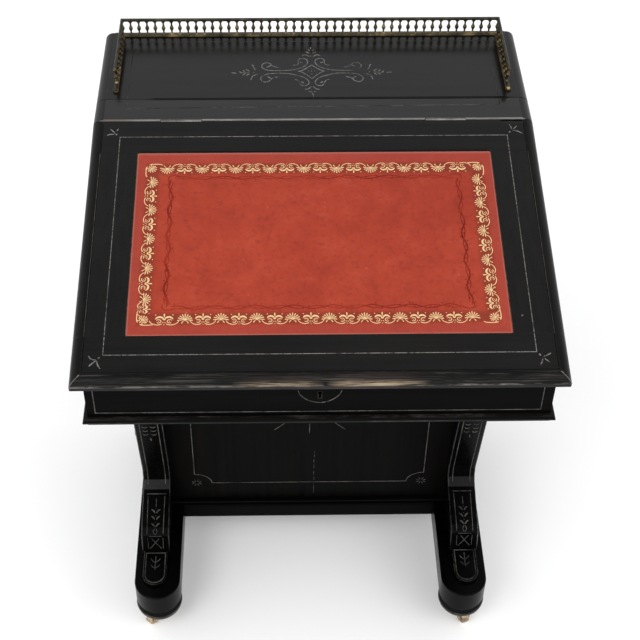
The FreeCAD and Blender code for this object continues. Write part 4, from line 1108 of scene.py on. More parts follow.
def vine():
    strokes = []

    def strand(a0, a1, place, phase, amp, w, period):
        n = int((a1 - a0) / 3)
        wob = [rng.uniform(-0.25, 0.25) for _ in range(n + 1)]
        pts = [place(a0 + (a1 - a0) * i / n, amp * math.sin(2 * math.pi * ((a1 - a0) * i / n) / period + phase) + wob[i]) for i in range(n + 1)]
        strokes.append(Stroke(pts, w=w, smooth=True, step=2.0, taper=4))

    def leaves(a0, a1, place, phase, amp, period):
        k = a0 + 4.0
        side = 1
        while k < a1 - 5:
            b = amp * math.sin(2 * math.pi * (k - a0) / period + phase)
            # a small rounded leaf standing clear of the stem
            d = rng.uniform(2.0, 2.8) * side
            strokes.append(Stroke([place(k, b + d), place(k + 0.9, b + d * 1.15), place(k + 1.9, b + d * 1.1)], w=1.5, smooth=True,
                                  step=0.7, taper=0.6))
            side = -side
            k += rng.uniform(5.2, 7.4)
    for a0, a1, place, per, w in ((100, 288, lambda a, b: (-173.4 + b, a), 38.0, 2.6), (100, 288, lambda a, b: (172.4 + b, a), 38.0, 2.1),
                                  (-170, 168, lambda a, b: (a, 289.5 + b), 50.0, 1.62), (-168, 168, lambda a, b: (a, 99.5 + b), 44.0, 1.50)):
        strand(a0, a1, place, 0.4, 2.5, w, per)
        strand(a0 + 3, a1 - 3, place, 0.4 + math.pi * 0.9, 1.9, w * 0.6 if w < 1.7 else 1.15, per)
        leaves(a0, a1, place, 0.4, 2.5, per)
    for pts in ([(-177, 283), (-176, 291), (-170, 293.5), (-160, 290)], [(176, 283), (176, 291), (170, 293.5), (160, 290)],
                [(-177, 106), (-176, 98), (-170, 96), (-160, 99)], [(176, 106), (176, 98), (170, 96), (160, 99)]):
        strokes.append(Stroke(pts, w=1.3, smooth=True, step=2.0, taper=3))
    pts, tri, dep = flat_union(strokes)
    on_leather("blind_vine", [(pts, tri, lambda q: (q[0], q[1]))], blind, 0.018)


tooled_border()
vine()

# ------------------------------------------------------------------ flat top: fixed rail and flap
TOPZ = 802.7
deck_face = dict(origin=P(0, 0, TOPZ), u=X, v=Y, depth_mm=0.55)
FX0, FX1, FYT, FYB = -235.0, 236.4, 545.0, 400.2
flap_frame = [Stroke([(FX0, 420.4), (FX0, FYT), (FX1, FYT), (FX1, 420.4)], w=1.15, taper=2)]
rail_frame = [Stroke([(FX0, 415.0), (FX0, 398.2), (FX1, 403.2), (FX1, 415.0)], w=1.5, taper=1.5)]


def ara(pts, w=1.3, smooth=True, shape=None, taper=1.6, flip=False, step=1.5):
    """Arabesque: pts are steps of 1/12.8 mm across and 1/7.485 mm towards the writer, from a corner."""
    out = []
    for a, b in pts:
        x, y = (a - 1395) * 0.0781, 477.0 - (b - 480) * 0.1336
        out.append((-x if flip else x, y))
    return Stroke(out, w=w * 0.80, smooth=smooth, step=step, taper=taper, shape=shape)


def arabesque():
    lf = lambda u: 0.40 + 0.60 * math.sin(math.pi * u)
    comma = lambda u: 0.45 + 0.55 * math.sin(math.pi * min(1.0, u * 0.8))
    out = []
    for flip in (False, True):
        k = 0.86 if flip else 1.0
        out.append(ara([(850, 414), (800, 408), (745, 390), (700, 352), (645, 336), (590, 352), (562, 390), (580, 425), (640, 456), (740, 468),
                        (860, 470), (1000, 466), (1100, 455), (1200, 430), (1285, 392), (1330, 340), (1322, 292), (1270, 268), (1205, 272),
                        (1172, 308), (1180, 345), (1155, 372), (1090, 380)], 1.5, flip=flip))
        out.append(ara([(860, 416), (815, 412), (770, 402)], 2.3 * k, flip=flip, shape=lf))
        out.append(ara([(1075, 380), (1105, 380), (1140, 374)], 2.4 * k, flip=flip, shape=lf))
        out.append(ara([(632, 412), (680, 402), (724, 376)], 2.2 * k, flip=flip, shape=comma))
        out.append(ara([(1198, 320), (1224, 336), (1248, 346)], 2.7 * k, flip=flip, shape=lf, taper=1.2))
        out.append(ara([(832, 576), (780, 580), (738, 598), (695, 634), (640, 656), (588, 650), (550, 615), (558, 575), (600, 546), (660, 526),
                        (760, 516), (900, 513), (1010, 520), (1130, 545), (1240, 575), (1310, 615), (1345, 660), (1322, 704), (1262, 722),
                        (1214, 706), (1186, 662), (1160, 630), (1100, 618)], 1.45, flip=flip))
        out.append(ara([(648, 566), (688, 584), (730, 604)], 2.1 * k, flip=flip, shape=lf, taper=1.2))
        out.append(ara([(838, 574), (800, 578), (762, 586)], 2.3 * k, flip=flip, shape=lf))
        out.append(ara([(1212, 648), (1238, 666), (1262, 676)], 2.7 * k, flip=flip, shape=lf, taper=1.2))
        out.append(ara([(1150, 479), (1205, 479), (1262, 457), (1330, 418), (1406, 373)] if not flip else
                       [(1172, 479), (1225, 470), (1290, 440), (1345, 408), (1392, 376)], 1.9 if not flip else 1.3, flip=flip))
        out.append(ara([(1182, 482), (1236, 500), (1300, 536), (1350, 570), (1392, 608)], 1.35, flip=flip))
        # finial above
        out.append(ara([(1338, 108), (1358, 122), (1378, 142)], 2.2 * k, flip=flip, shape=lf, taper=1.0))
        out.append(ara([(1304, 150), (1336, 165), (1372, 180)], 2.6 * k, flip=flip, shape=lf, taper=1.0))
        out.append(ara([(1236, 224), (1278, 205), (1330, 214), (1368, 246)], 1.9, flip=flip, shape=lf))
        # finial below
        out.append(ara([(1264, 778), (1316, 776), (1354, 756), (1384, 726)], 2.1, flip=flip, shape=lf))
        out.append(ara([(1330, 812), (1352, 820), (1372, 808)], 1.1, flip=flip, shape=lf, taper=1.0))
        # spray at the end
        out.append(ara([(392, 366), (416, 384), (430, 420), (466, 464)], 2.2 * k, flip=flip, shape=lambda u: 1.0 - 0.5 * u))
        out.append(ara([(506, 520), (450, 540), (408, 566), (384, 628)], 2.1 * k, flip=flip, shape=lambda u: 0.55 + 0.45 * u))
        out.append(ara([(418, 490), (434, 496), (450, 500)], 1.9 * k, flip=flip, taper=1.0))
        for q in ([(182, 474), (212, 494), (236, 514)], [(244, 462), (268, 474), (286, 488)], [(296, 446), (332, 464), (366, 484)],
                  [(240, 548), (266, 530), (296, 508)], [(304, 550), (334, 532), (364, 518)]):
            out.append(ara(q, 2.0 * k, flip=flip, shape=lf, taper=1.1))
        out.append(ara([(54, 501), (100, 505), (154, 508)], 2.1 * k, flip=flip, shape=lf))
        out.append(ara([(190, 505), (280, 503), (372, 501)], 0.9, flip=flip))
    out.append(ara([(1393, 66), (1391, 86), (1389, 110)], 2.2, shape=lambda u: 0.4 + 0.6 * u, taper=1.0))
    for a, b, w in ((1388, 226, 2.6), (1395, 480, 2.0), (1345, 479, 1.5), (1445, 479, 1.5), (1396, 432, 1.6), (1396, 528, 1.4), (1380, 802, 2.3)):
        out.append(ara([(a - 12, b), (a, b), (a + 12, b)], w, False, taper=0.9))
    out.append(ara([(1366, 818), (1398, 852), (1412, 902)], 1.7, shape=lf, taper=1.2))
    return out


def deck_class(f, arris):
    x, y, z = to_mm(f.calc_center_median())
    if y < 377.2 and z > 799.6 and (arris or abs(z - TOPZ) > 0.02):
        return 5
    if abs(y - 417.7) < 2.0 and (arris or abs(z - TOPZ) > 0.02):
        return 4
    if arris:
        return None
    if abs(x) > 261.4 and 787.8 < z < 802.5:
        return 3
    return None


seam = shadow_gap("flap_joint", 0.0006, -0.208)
# the edges of the joint are worn down: a shallow groove runs along both sides of it, coloured near-black as painted
# shade in the gap
seam_flap = Stroke([(-214.0, 419.3), (-150.0, 419.3), (257.0, 419.3)], w=1.2, taper=14)
seam_rail = Stroke([(-214.0, 416.1), (-150.0, 416.1), (257.0, 416.1)], w=1.2, taper=14)
flap_x = ebony("x", 0.21, 0.17, 0.7, shift=0.8)
rail_x = ebony("x", 0.30, 0.22, 0.9, shift=0.2, warm=0.6)
def faint_frame(c):
    """The frame line round the flap is half filled with polish."""
    x, y, z = to_mm(c)
    if y < 420.1:
        return 4
    return 6 if x < FX0 + 1.5 or x > FX1 - 1.5 or y > FYT - 1.5 else None


refine("flap_board", [flap_x, worn_edge("x", 0.8, 0.3), incised("x", 0.80, 0.25), side_deck, seam, seam, incised("x", 0.20, 0.75)],
       bevel=0.45, classify=deck_class, cuts=[dict(deck_face, strokes=flap_frame + arabesque() + [seam_flap])],
       relabel=faint_frame)
refine("deck_rail", [rail_x, worn_edge("x", 0.8, 0.3), incised("x", 0.32, 0.75), side_deck, seam, rail_arris()],
       bevel=0.45, classify=deck_class, cuts=[dict(deck_face, strokes=rail_frame + [seam_rail])],
       relabel=lambda c: 4 if to_mm(c)[1] > 415.3 else None)

# ------------------------------------------------------------------ case
case_lines = [Stroke([(-253.0, 715.0), (-253.0, 665.5), (250.5, 665.5), (250.5, 715.0)], w=0.95, taper=2),
              Stroke([(-24.5, 701.5), (-22.0, 693.2), (-12.5, 684.0), (0, 680.5), (12.0, 684.0), (21.5, 693.2), (24.5, 701.5)],
                     w=1.1, smooth=True, step=2.0, taper=2)]
FRONT = dict(u=X, v=Z)
# the case front gets a darker copy of the ebony: painted shade on a front-facing face
front_e = ebony("x", 0.02, 0.30, 0.32, shift=0.5)


def front_class(f, arris):
    """The keyhole's own arris keeps the front's own finish, not rubbed pale."""
    x, y, z = to_mm(f.calc_center_median())
    return 0 if arris and abs(x) < 14 and 668 < z < 706 else None


refine("case_front", [front_e, worn_edge("x", 0.2, 0.05), incised("x", 0.50, 0.5)], bevel=0.4, classify=front_class,
       cuts=[dict(FRONT, origin=P(0, 13.9, 0), strokes=case_lines, depth_mm=0.45)])
side_e = ebony("y", 0.12, 0.24, 0.6, shift=0.1)
for sgn, nm in ((-1, "case_side_left"), (1, "case_side_right")):
    # incised frame that follows the slope
    yk = MID
    pts = [(40, 671), (555, 671), (555, 776), (398, 776), (40, 706)]
    q = [(sgn * (y - MID), z) for y, z in pts]
    refine(nm, [side_e, worn_edge("y", 0.35, 0.4), incised("y", 0.6, 0.5)], bevel=0.35,
           cuts=[dict(origin=Vector((sgn * 0.2626, 0, 0)), u=Y * sgn, v=Z, depth_mm=0.45,
                      strokes=[Stroke(q, w=1.1, closed=True)])])
refine("case_back", [side_e, worn_edge("x", 0.3, 0.4), incised("x", 0.6, 0.5)], bevel=0.4,
       cuts=[dict(origin=P(0, 566, 0), u=-X, v=Z, depth_mm=0.45, strokes=[frame_lines(-236, 236, 671, 775)])])
# the bottom's rear edge shows below the case back, and its underside over the kneehole; both are blacked
refine("case_bottom", [wood("pine", (0.34, 0.20, 0.10), (0.17, 0.085, 0.04), "x"), wood("pine", (0.34, 0.20, 0.10), (0.17, 0.085, 0.04), "x"), side_e],
       bevel=0.4, classify=lambda f, arris: 2 if to_mm(f.calc_center_median())[1] > 564.5 or f.normal.z < -0.3 else None)
refine("stationery_partition", [wood("mahogany", (0.21, 0.085, 0.036), (0.085, 0.030, 0.014), "x")] * 2, bevel=0.3)


def arc_points(c, r, a0, a1, n):
    return [(c[0] + r * math.cos(math.radians(a0 + (a1 - a0) * i / n)), c[1] + r * math.sin(math.radians(a0 + (a1 - a0) * i / n)))
            for i in range(n + 1)]


def sweep(profile, corners, name, body, mats, replaces=(), index=None, split=()):
    """Closed profile of (outward, z) swept along an open path of (x, y, z-free) corners with mitred turns.
    corners: function of outward offset -> list of (x, y)."""
    bm = bmesh.new()
    rows = []
    n = len(corners(0.0))
    for k in range(n):
        rows.append([bm.verts.new(P(*corners(o)[k], z)) for o, z in profile])
    m = len(profile)
    for k in range(n - 1):
        for i in range(m):
            f = bm.faces.new([rows[k][i], rows[k][(i + 1) % m], rows[k + 1][(i + 1) % m], rows[k + 1][i]])
            if index:
                f.material_index = index(i)
    bm.faces.new(rows[0][::-1])
    bm.faces.new(rows[-1])
    bmesh.ops.recalc_face_normals(bm, faces=bm.faces)
    return finish_mesh(bm, name, body, mats, replaces, sharp=44, cut=None)


# base moulding: cove, fillet and ovolo, with softened arrises
cove = arc_points((269.4, 647.0), 6.4, 182.7, 102.5, 8)
ovolo = arc_points((264.16, 654.8), 3.9, 10.3, 92.4, 7)
prof = [(250.0, 646.7), (262.6, 646.7), (262.98, 646.84)] + cove[1:-1] + [(267.6, 653.22), (267.93, 653.4), (268.0, 653.75), (268.0, 655.0),
        (267.95, 655.35)] + ovolo[:-1] + [(263.9, 658.66), (263.4, 658.7), (250.0, 658.7)]


def mould_path(h):
    return [(-h, 566.0), (-h, 275.4 - h), (h, 275.4 - h), (h, 566.0)]


def mould_index(i):
    o, z = prof[i]
    if 653.1 < z < 655.2 and o > 267:
        return 1
    if z > 658.0 and o > 262.9:
        return 1
    return 0


sweep(prof, mould_path, "case_moulding.finished", "carcass",
      [ebony("x", 0.04, 0.30, 0.36, shift=0.9), worn_edge("x", 0.60, 0.09, (0.042, 0.039, 0.036), (0.13, 0.12, 0.108))],
      ("case_moulding",), mould_index)

# ------------------------------------------------------------------ pedestal
def scooped(x0, x1, z0, z1, rx, rz, w=1.15):
    """Closed line with hollow quarter-round corners."""
    pts = []
    for cx, cz, a0 in ((x0, z0, 90), (x1, z0, 180), (x1, z1, 270), (x0, z1, 360)):
        for i in range(9):
            a = math.radians(a0 - 90 * i / 8)
            if (cx, cz) == (x0, z0):
                a = math.radians(90 - 90 * i / 8)
            elif (cx, cz) == (x1, z0):
                a = math.radians(180 - 90 * i / 8)
            elif (cx, cz) == (x1, z1):
                a = math.radians(270 - 90 * i / 8)
            else:
                a = math.radians(360 - 90 * i / 8)
            pts.append((cx + rx * math.cos(a), cz + rz * math.sin(a)))
    return Stroke(pts, w=w, closed=True)


def star(x, z, r, n=8, w=1.1):
    out = []
    for i in range(n):
        a = 2 * math.pi * (i + 0.5) / n
        out.append(Stroke([(x + 0.28 * r * math.cos(a), z + 0.28 * r * math.sin(a)),
                           (x + 0.65 * r * math.cos(a), z + 0.65 * r * math.sin(a)),
                           (x + r * math.cos(a), z + r * math.sin(a))], w=w, taper=1.0,
                          shape=lambda u: 0.5 + 0.5 * math.sin(math.pi * u)))
    return out


ped_lines = [scooped(-178.2, 178.6, 136.4, 612.0, 26.5, 21.5, 1.2)]
for sx in (-1, 1):
    for cz in (137.2, 611.0):
        ped_lines += star(sx * 175.6, cz, 8.6, 8, 1.08)
lf = lambda u: 0.35 + 0.65 * math.sin(math.pi * u)
for sx in (-1, 1):
    for up in (0, 1):
        mz = (lambda z: z) if not up else (lambda z: 748.0 - z)
        ped_lines.append(Stroke([(sx * 54.5, mz(263.0)), (sx * 39.5, mz(277.6)), (sx * 22, mz(300)), (sx * 10, mz(334))],
                                w=1.3, smooth=True, taper=3))
        ped_lines.append(Stroke([(sx * 60, mz(281)), (sx * 74, mz(296)), (sx * 70, mz(318)), (sx * 52, mz(322)), (sx * 47, mz(306)),
                                 (sx * 58, mz(301))], w=1.2, smooth=True, taper=3))
        ped_lines.append(Stroke([(sx * 30, mz(322)), (sx * 26, mz(344)), (sx * 38, mz(362))], w=1.3, smooth=True, shape=lf, taper=2))
    ped_lines.append(Stroke([(sx * 12, 374), (sx * 40, 362), (sx * 76, 366), (sx * 98, 374), (sx * 76, 382), (sx * 40, 386), (sx * 12, 374.5)],
                            w=1.2, smooth=True, taper=2))
    ped_lines.append(Stroke([(sx * 106, 374), (sx * 116, 374), (sx * 128, 374)], w=1.5, shape=lf, taper=2))
ped_lines += [Stroke([(-0.3, 254.0), (-0.3, 266.0), (-0.3, 279.0)], w=1.4, shape=lf, taper=3), Stroke([(0, 469), (0, 482), (0, 494)], w=1.4, shape=lf, taper=3)]
ped_lines += star(0, 374, 9.5, 8, 1.3)
# the joint between the panel's two boards has opened to a hairline near the bottom
ped_lines.append(Stroke([(7.4, 108.0), (7.6, 122.0), (7.2, 133.5)], w=0.65, taper=2))
for a, b in ((139.5, 150.0), (154.0, 164.5), (168.5, 181.0), (184.0, 193.0), (197.5, 205.0), (208.0, 213.0)):
    ped_lines.append(Stroke([(7.3, a), (6.8 + rng.uniform(0, 1.2), (a + b) / 2), (7.4, b)], w=0.72, smooth=True, taper=2.5))
# the pedestal front gets a darker copy of the ebony: painted shade under the case
ped_e = ebony("z", 0.025, 0.36, 0.40, shift=0.3)
refine("pedestal_front_panel", [ped_e, worn_edge("x", 0.1, 0.05), incised("z", 0.42, 0.5)], bevel=0.35,
       cuts=[dict(FRONT, origin=P(0, 321, 0), strokes=ped_lines, depth_mm=0.5)])
refine("pedestal_back_panel", [ebony("z", 0.12, 0.28, 0.6, shift=0.6), worn_edge("z", 0.3, 0.4), incised("z", 0.6, 0.5)],
       bevel=0.4, cuts=[dict(origin=P(0, 560, 0), u=-X, v=Z, depth_mm=0.45, strokes=[scooped(-214, 214, 124, 622, 20, 20, 1.1)])])
frame_e = ebony("z", 0.12, 0.24, 0.6, shift=0.15)
for nm in ("pedestal_frame_left", "pedestal_frame_right"):
    refine(nm, [frame_e, worn_edge("z", 0.45, 0.4)], bevel=0.45, cut=9)
# the plinth gets a darker copy of the ebony and dark arrises: painted shade at the foot of the pedestal
refine("pedestal_plinth", [ebony("x", 0.02, 0.34, 0.28, shift=0.7), worn_edge("x", 0.0, 0.03, (0.012, 0.011, 0.010), (0.03, 0.028, 0.026))], bevel=0.5, cut=9)

front_wood = ebony("y", 0.16, 0.22, 0.65, shift=0.45)
OPEN = {"bottom": (109.0, 138.0), "lower": (255.0, 127.5), "upper": (390.5, 118.0), "top": (516.5, 112.0)}


def drawer_lines(z, h, sgn):
    y0, y1 = 339.0 + 0.7, 542.0 - 0.7
    a, b = y0 + 11, y1 - 11
    c, d = z + 0.7 + 11, z + h - 0.7 - 11
    q = []
    ins = 6.5
    corners = [(a, c), (b, c), (b, d), (a, d)]
    for k, (cy, cz) in enumerate(corners):
        sy = 1 if cy == a else -1
        sz = 1 if cz == c else -1
        two = [(cy, cz + sz * ins), (cy + sy * ins, cz + sz * ins), (cy + sy * ins, cz)]
        if k in (1, 3):
            two = two[::-1]
        q += two
    st = [Stroke([(sgn * (y - MID), zz) for y, zz in q], w=1.05, closed=True)]
    for cy, cz in corners:
        sy = 1 if cy == a else -1
        sz = 1 if cz == c else -1
        st += star(sgn * (cy + sy * 1.6 - MID), cz + sz * 1.6, 3.6, 4, 1.0)
    my, mz = (a + b) / 2, (c + d) / 2
    for s2 in (-1, 1):
        st.append(Stroke([(sgn * (my + s2 * 2.5 - MID), mz), (sgn * (my + s2 * 10 - MID), mz + 5), (sgn * (my + s2 * 20 - MID), mz)],
                         w=1.2, smooth=True, shape=lf, taper=2))
        st.append(Stroke([(sgn * (my + s2 * 2.5 - MID), mz - 0.3), (sgn * (my + s2 * 10 - MID), mz - 5.3), (sgn * (my + s2 * 19 - MID), mz - 0.8)],
                         w=1.1, smooth=True, shape=lf, taper=2))
    return st


box_wood = wood("mahogany", (0.23, 0.092, 0.038), (0.095, 0.034, 0.015), "x")
for nm, (z, h) in OPEN.items():
    refine("drawer_%s_front" % nm, [front_wood, worn_edge("y", 0.5, 0.45), incised("y", 0.6, 0.45)], bevel=0.35,
           cuts=[dict(origin=Vector((0.2543, 0, 0)), u=Y, v=Z, depth_mm=0.45, strokes=drawer_lines(z, h, 1))])
    refine("drawer_%s_box" % nm, [box_wood, wood("mahogany_edge", (0.28, 0.125, 0.055), (0.13, 0.05, 0.022), "x")], bevel=0.5, cut=9)
bm = bm_of_node("dummy_drawer_fronts")
tidy(bm)
for f in round_edges(bm, 0.35, 2):
    if f.is_valid:
        f.material_index = 1
bm.normal_update()
lines = []
for nm, (z, h) in OPEN.items():
    lines += drawer_lines(z, h, -1)
engrave(bm, Vector((-0.2543, 0, 0)), -Y, Z, lines, 0.45, 2)
finish_mesh(bm, "dummy_drawer_fronts.finished", "carcass", [front_wood, worn_edge("y", 0.5, 0.45), incised("y", 0.6, 0.45)],
            ("dummy_drawer_fronts",), cut=2)
paint("drawer_runners", wood("beech", (0.40, 0.25, 0.13), (0.24, 0.13, 0.06), "x"))


# ------------------------------------------------------------------ turnings
def lathe(bm, profile, origin, axis, n=32, mat=0, mat_of=None):
    """Turned solid: profile of (radius, height) in mm from origin along axis."""
    axis = axis.normalized()
    side = Vector((0, 0, 1)) if abs(axis.z) < 0.9 else Vector((1, 0, 0))
    a = axis.cross(side).normalized()
    b = axis.cross(a).normalized()
    rings = []
    for r, h in profile:
        if r < 1e-6:
            rings.append([bm.verts.new(origin + axis * (h / 1000))])
        else:
            rings.append([bm.verts.new(origin + axis * (h / 1000) + (a * math.cos(2 * math.pi * k / n) + b * math.sin(2 * math.pi * k / n)) * (r / 1000))
                          for k in range(n)])
    new = []
    for j in range(len(rings) - 1):
        p, q = rings[j], rings[j + 1]
        for k in range(n):
            l = (k + 1) % n
            if len(p) == 1 and len(q) == 1:
                continue
            if len(p) == 1:
                f = bm.faces.new([p[0], q[k], q[l]])
            elif len(q) == 1:
                f = bm.faces.new([p[k], q[0], p[l]])
            else:
                f = bm.faces.new([p[k], q[k], q[l], p[l]])
            f.material_index = mat_of(j) if mat_of else mat
            new.append(f)
    return new


KNOB = [(0, 0.0), (7.1, 0.0), (7.5, 0.45), (7.5, 1.7), (7.1, 2.3), (6.1, 2.7), (5.6, 3.3), (5.2, 4.2), (4.8, 5.8), (4.6, 7.6), (4.65, 9.4),
        (5.2, 10.6), (5.9, 11.0), (6.1, 11.5), (5.9, 11.9), (7.2, 12.4), (8.9, 13.1), (9.9, 13.9), (10.45, 14.8), (10.45, 15.5), (10.0, 16.4),
        (9.0, 17.4), (7.4, 18.4), (5.4, 19.2), (3.6, 19.6), (3.3, 19.45), (2.9, 19.6), (1.6, 19.9), (0, 20.0)]
turn_e = ebony("x", 0.42, 0.14, 0.8, shift=0.66)
turn_w = worn_edge("x", 0.7, 0.5)


def knob_piece(node, spots, way, k=(1.0, 1.0)):
    bm = bmesh.new()
    for p in spots:
        lathe(bm, [(r * k[0], h * k[1]) for r, h in KNOB], p, way, 36, mat_of=lambda j: 1 if j in (18, 19) else 0)
    bmesh.ops.recalc_face_normals(bm, faces=bm.faces)
    return bm


for nm, (z, h) in OPEN.items():
    ys = (339.0 + 53.0, 542.0 - 53.0)
    b1 = knob_piece(None, [P(254.3, y, z + h / 2) for y in ys], X)
    finish_mesh(b1, "drawer_%s_knobs.turned" % nm, "drawer_" + nm, [turn_e, turn_w], ("drawer_%s_knobs" % nm,), cut=None)
b1 = knob_piece(None, [P(-254.3, y, z + h / 2) for (z, h) in OPEN.values() for y in (392.0, 489.0)], -X)
finish_mesh(b1, "dummy_drawer_knobs.turned", "carcass", [turn_e, turn_w], ("dummy_drawer_knobs",), cut=None)

# bun feet: CAD outline with a fine turned bead under the sled
BUN = [(0, 0), (21.4, 0), (22.0, 0.35)]
c1 = arc_points((22.0, 14.6), 14.6, 270, 360, 12)       # swelling of the bun
BUN += [(min(34.8, 22.0 + (r - 22.0) * 12.8 / 14.6), h) for r, h in c1[1:]]
BUN += [(34.7, 16.6), (34.0, 18.9), (32.6, 21.0), (31.2, 22.1), (31.0, 22.5), (31.6, 22.9), (32.0, 23.5), (32.0, 24.4), (31.7, 24.9), (31.6, 26.0), (0, 26.0)]
SLED = [(-231.7, 172.0), (231.7, 172.0), (-231.7, 531.5), (231.7, 531.5)]
b1 = bmesh.new()
for x, y in SLED:
    lathe(b1, BUN, P(x, y, 28.0), Z, 56, mat_of=lambda j: 1 if j in (13, 14, 20, 21) else 0)
bmesh.ops.recalc_face_normals(b1, faces=b1.faces)
finish_mesh(b1, "bun_feet.turned", "carcass", [ebony("x", 0.07, 0.20, 0.33, shift=0.9), worn_edge("x", 0.5, 0.12)], ("bun_feet",), cut=None)
# the sleds get a darker copy of the ebony: painted shade under the desk
sled_e = ebony("y", 0.05, 0.20, 0.20, shift=0.25)
for nm in ("sled_left", "sled_right"):
    refine(nm, [sled_e, worn_edge("y", 0.55, 0.2)], bevel=0.8, cut=9)


# ------------------------------------------------------------------ front supports
def arc_between(a, b, r, side, n):
    a, b = np.array(a, float), np.array(b, float)
    m, h = (a + b) / 2, np.linalg.norm(b - a) / 2
    d = (b - a) / (2 * h)
    c = m + np.array([-d[1], d[0]]) * side * math.sqrt(r * r - h * h)
    a0, a1 = math.atan2(*(a - c)[::-1]), math.atan2(*(b - c)[::-1])
    while a1 - a0 > math.pi:
        a1 -= 2 * math.pi
    while a1 - a0 < -math.pi:
        a1 += 2 * math.pi
    return [tuple(c + r * np.array([math.cos(t), math.sin(t)])) for t in np.linspace(a0, a1, n + 1)]


def round_path(pts, radius, skip=()):
    """Open polyline with its corners turned on small arcs."""
    out = [pts[0]]
    for i in range(1, len(pts) - 1):
        p, a, b = np.array(pts[i], float), np.array(pts[i - 1], float), np.array(pts[i + 1], float)
        u, v = a - p, b - p
        lu, lv = np.linalg.norm(u), np.linalg.norm(v)
        u, v = u / lu, v / lv
        ang = math.acos(max(-1, min(1, float(u @ v))))
        turn = math.pi - ang
        if turn < math.radians(7) or i in skip:
            out.append(tuple(p))
            continue
        t = min(radius * math.tan(turn / 2), 0.42 * lu, 0.42 * lv)
        n = 4 if turn > 0.5 else 3
        q0, q1 = p + u * t, p + v * t
        for k in range(n + 1):
            w = k / n
            out.append(tuple((1 - w) ** 2 * q0 + 2 * w * (1 - w) * p + w * w * q1))
    out.append(pts[-1])
    return out


nose = arc_between((62, 633), (88, 606), 27.5, 1, 12)
if min(p[0] + p[1] for p in nose) > 690:
    nose = arc_between((62, 633), (88, 606), 27.5, -1, 12)
hollow = arc_between((96, 601), (270, 390), 227, -1, 30)
SUPP = [(62, 646.7)] + nose + [(96, 606)] + hollow + [(310.6, 180), (308, 163), (296, 153.5), (236, 138), (226, 132), (219.5, 102), (219.5, 94)]
S_ORIGIN = (96.0, 601.0)


def support_strokes():
    out = []
    L = lambda *p, **k: Stroke(p, **dict(dict(w=1.15, taper=2), **k))
    for sx in (-1, 1):
        out.append(L((sx * 13.4, 18), (sx * 13.4, 532), w=1.25))
        out.append(L((sx * 12.9, 549.5), (sx * 12.2, 612.0), w=1.1))
        out.append(L((sx * 11.8, 618.5), (sx * 11.2, 641.0), w=0.9))
        # leaf rows under the case and down the hollow
        for s0 in (366.5, 377.5, 388.5):
            out.append(Stroke([(sx * 1.8, s0 - 1.0), (sx * 4.2, s0 + 2.6), (sx * 7.2, s0 + 2.8), (sx * 10.6, s0 - 0.8)], w=2.1, smooth=True,
                              step=1.0, taper=2.0, shape=lf))
        for s0 in (60, 71, 82, 93):
            out.append(Stroke([(sx * 1.8, s0 + 1.0), (sx * 4.2, s0 - 2.6), (sx * 7.2, s0 - 2.8), (sx * 10.6, s0 + 0.8)], w=2.0, smooth=True,
                              step=1.0, taper=2.0, shape=lf))
        # three pairs on the foot
        for s0 in (573.0, 584.0, 595.5):
            out.append(Stroke([(sx * 1.0, s0 + 6.2), (sx * 2.4, s0 + 3.2), (sx * 4.8, s0 + 0.6), (sx * 7.4, s0 - 0.6)], w=2.3, smooth=True,
                              step=1.0, taper=2.0, shape=lf))
        out.append(L((sx * 0.6, 603.0), (sx * 3.1, 608.0), (sx * 0.5, 613.2), w=1.0, taper=1.2))
        out.append(L((sx * 6.0, 619.8), (0.0, 628.6), (-sx * 9.3, 641.2), w=1.2, taper=1.5))
    out.append(L((0.0, 399.0), (0.3, 404.0), (1.0, 409.5), w=2.0, shape=lf))
    out.append(L((0.0, 40.0), (0.0, 52.0), w=1.8, shape=lf))
    out.append(L((-15.6, 547.0), (15.6, 547.0), w=1.1, taper=1.2))
    out.append(L((0.0, 554.5), (0.2, 562.0), (0.0, 569.0), w=1.0))
    for s0 in (571.0, 582.0, 593.0):
        out.append(L((0.0, s0), (0.0, s0 + 1.6), w=1.5, taper=0.8))
    out.append(L((0.0, 599.0), (0.0, 601.4), w=1.5, taper=0.9))
    out.append(L((-10.4, 615.8), (10.4, 615.8), w=1.0, taper=1.2))
    return out


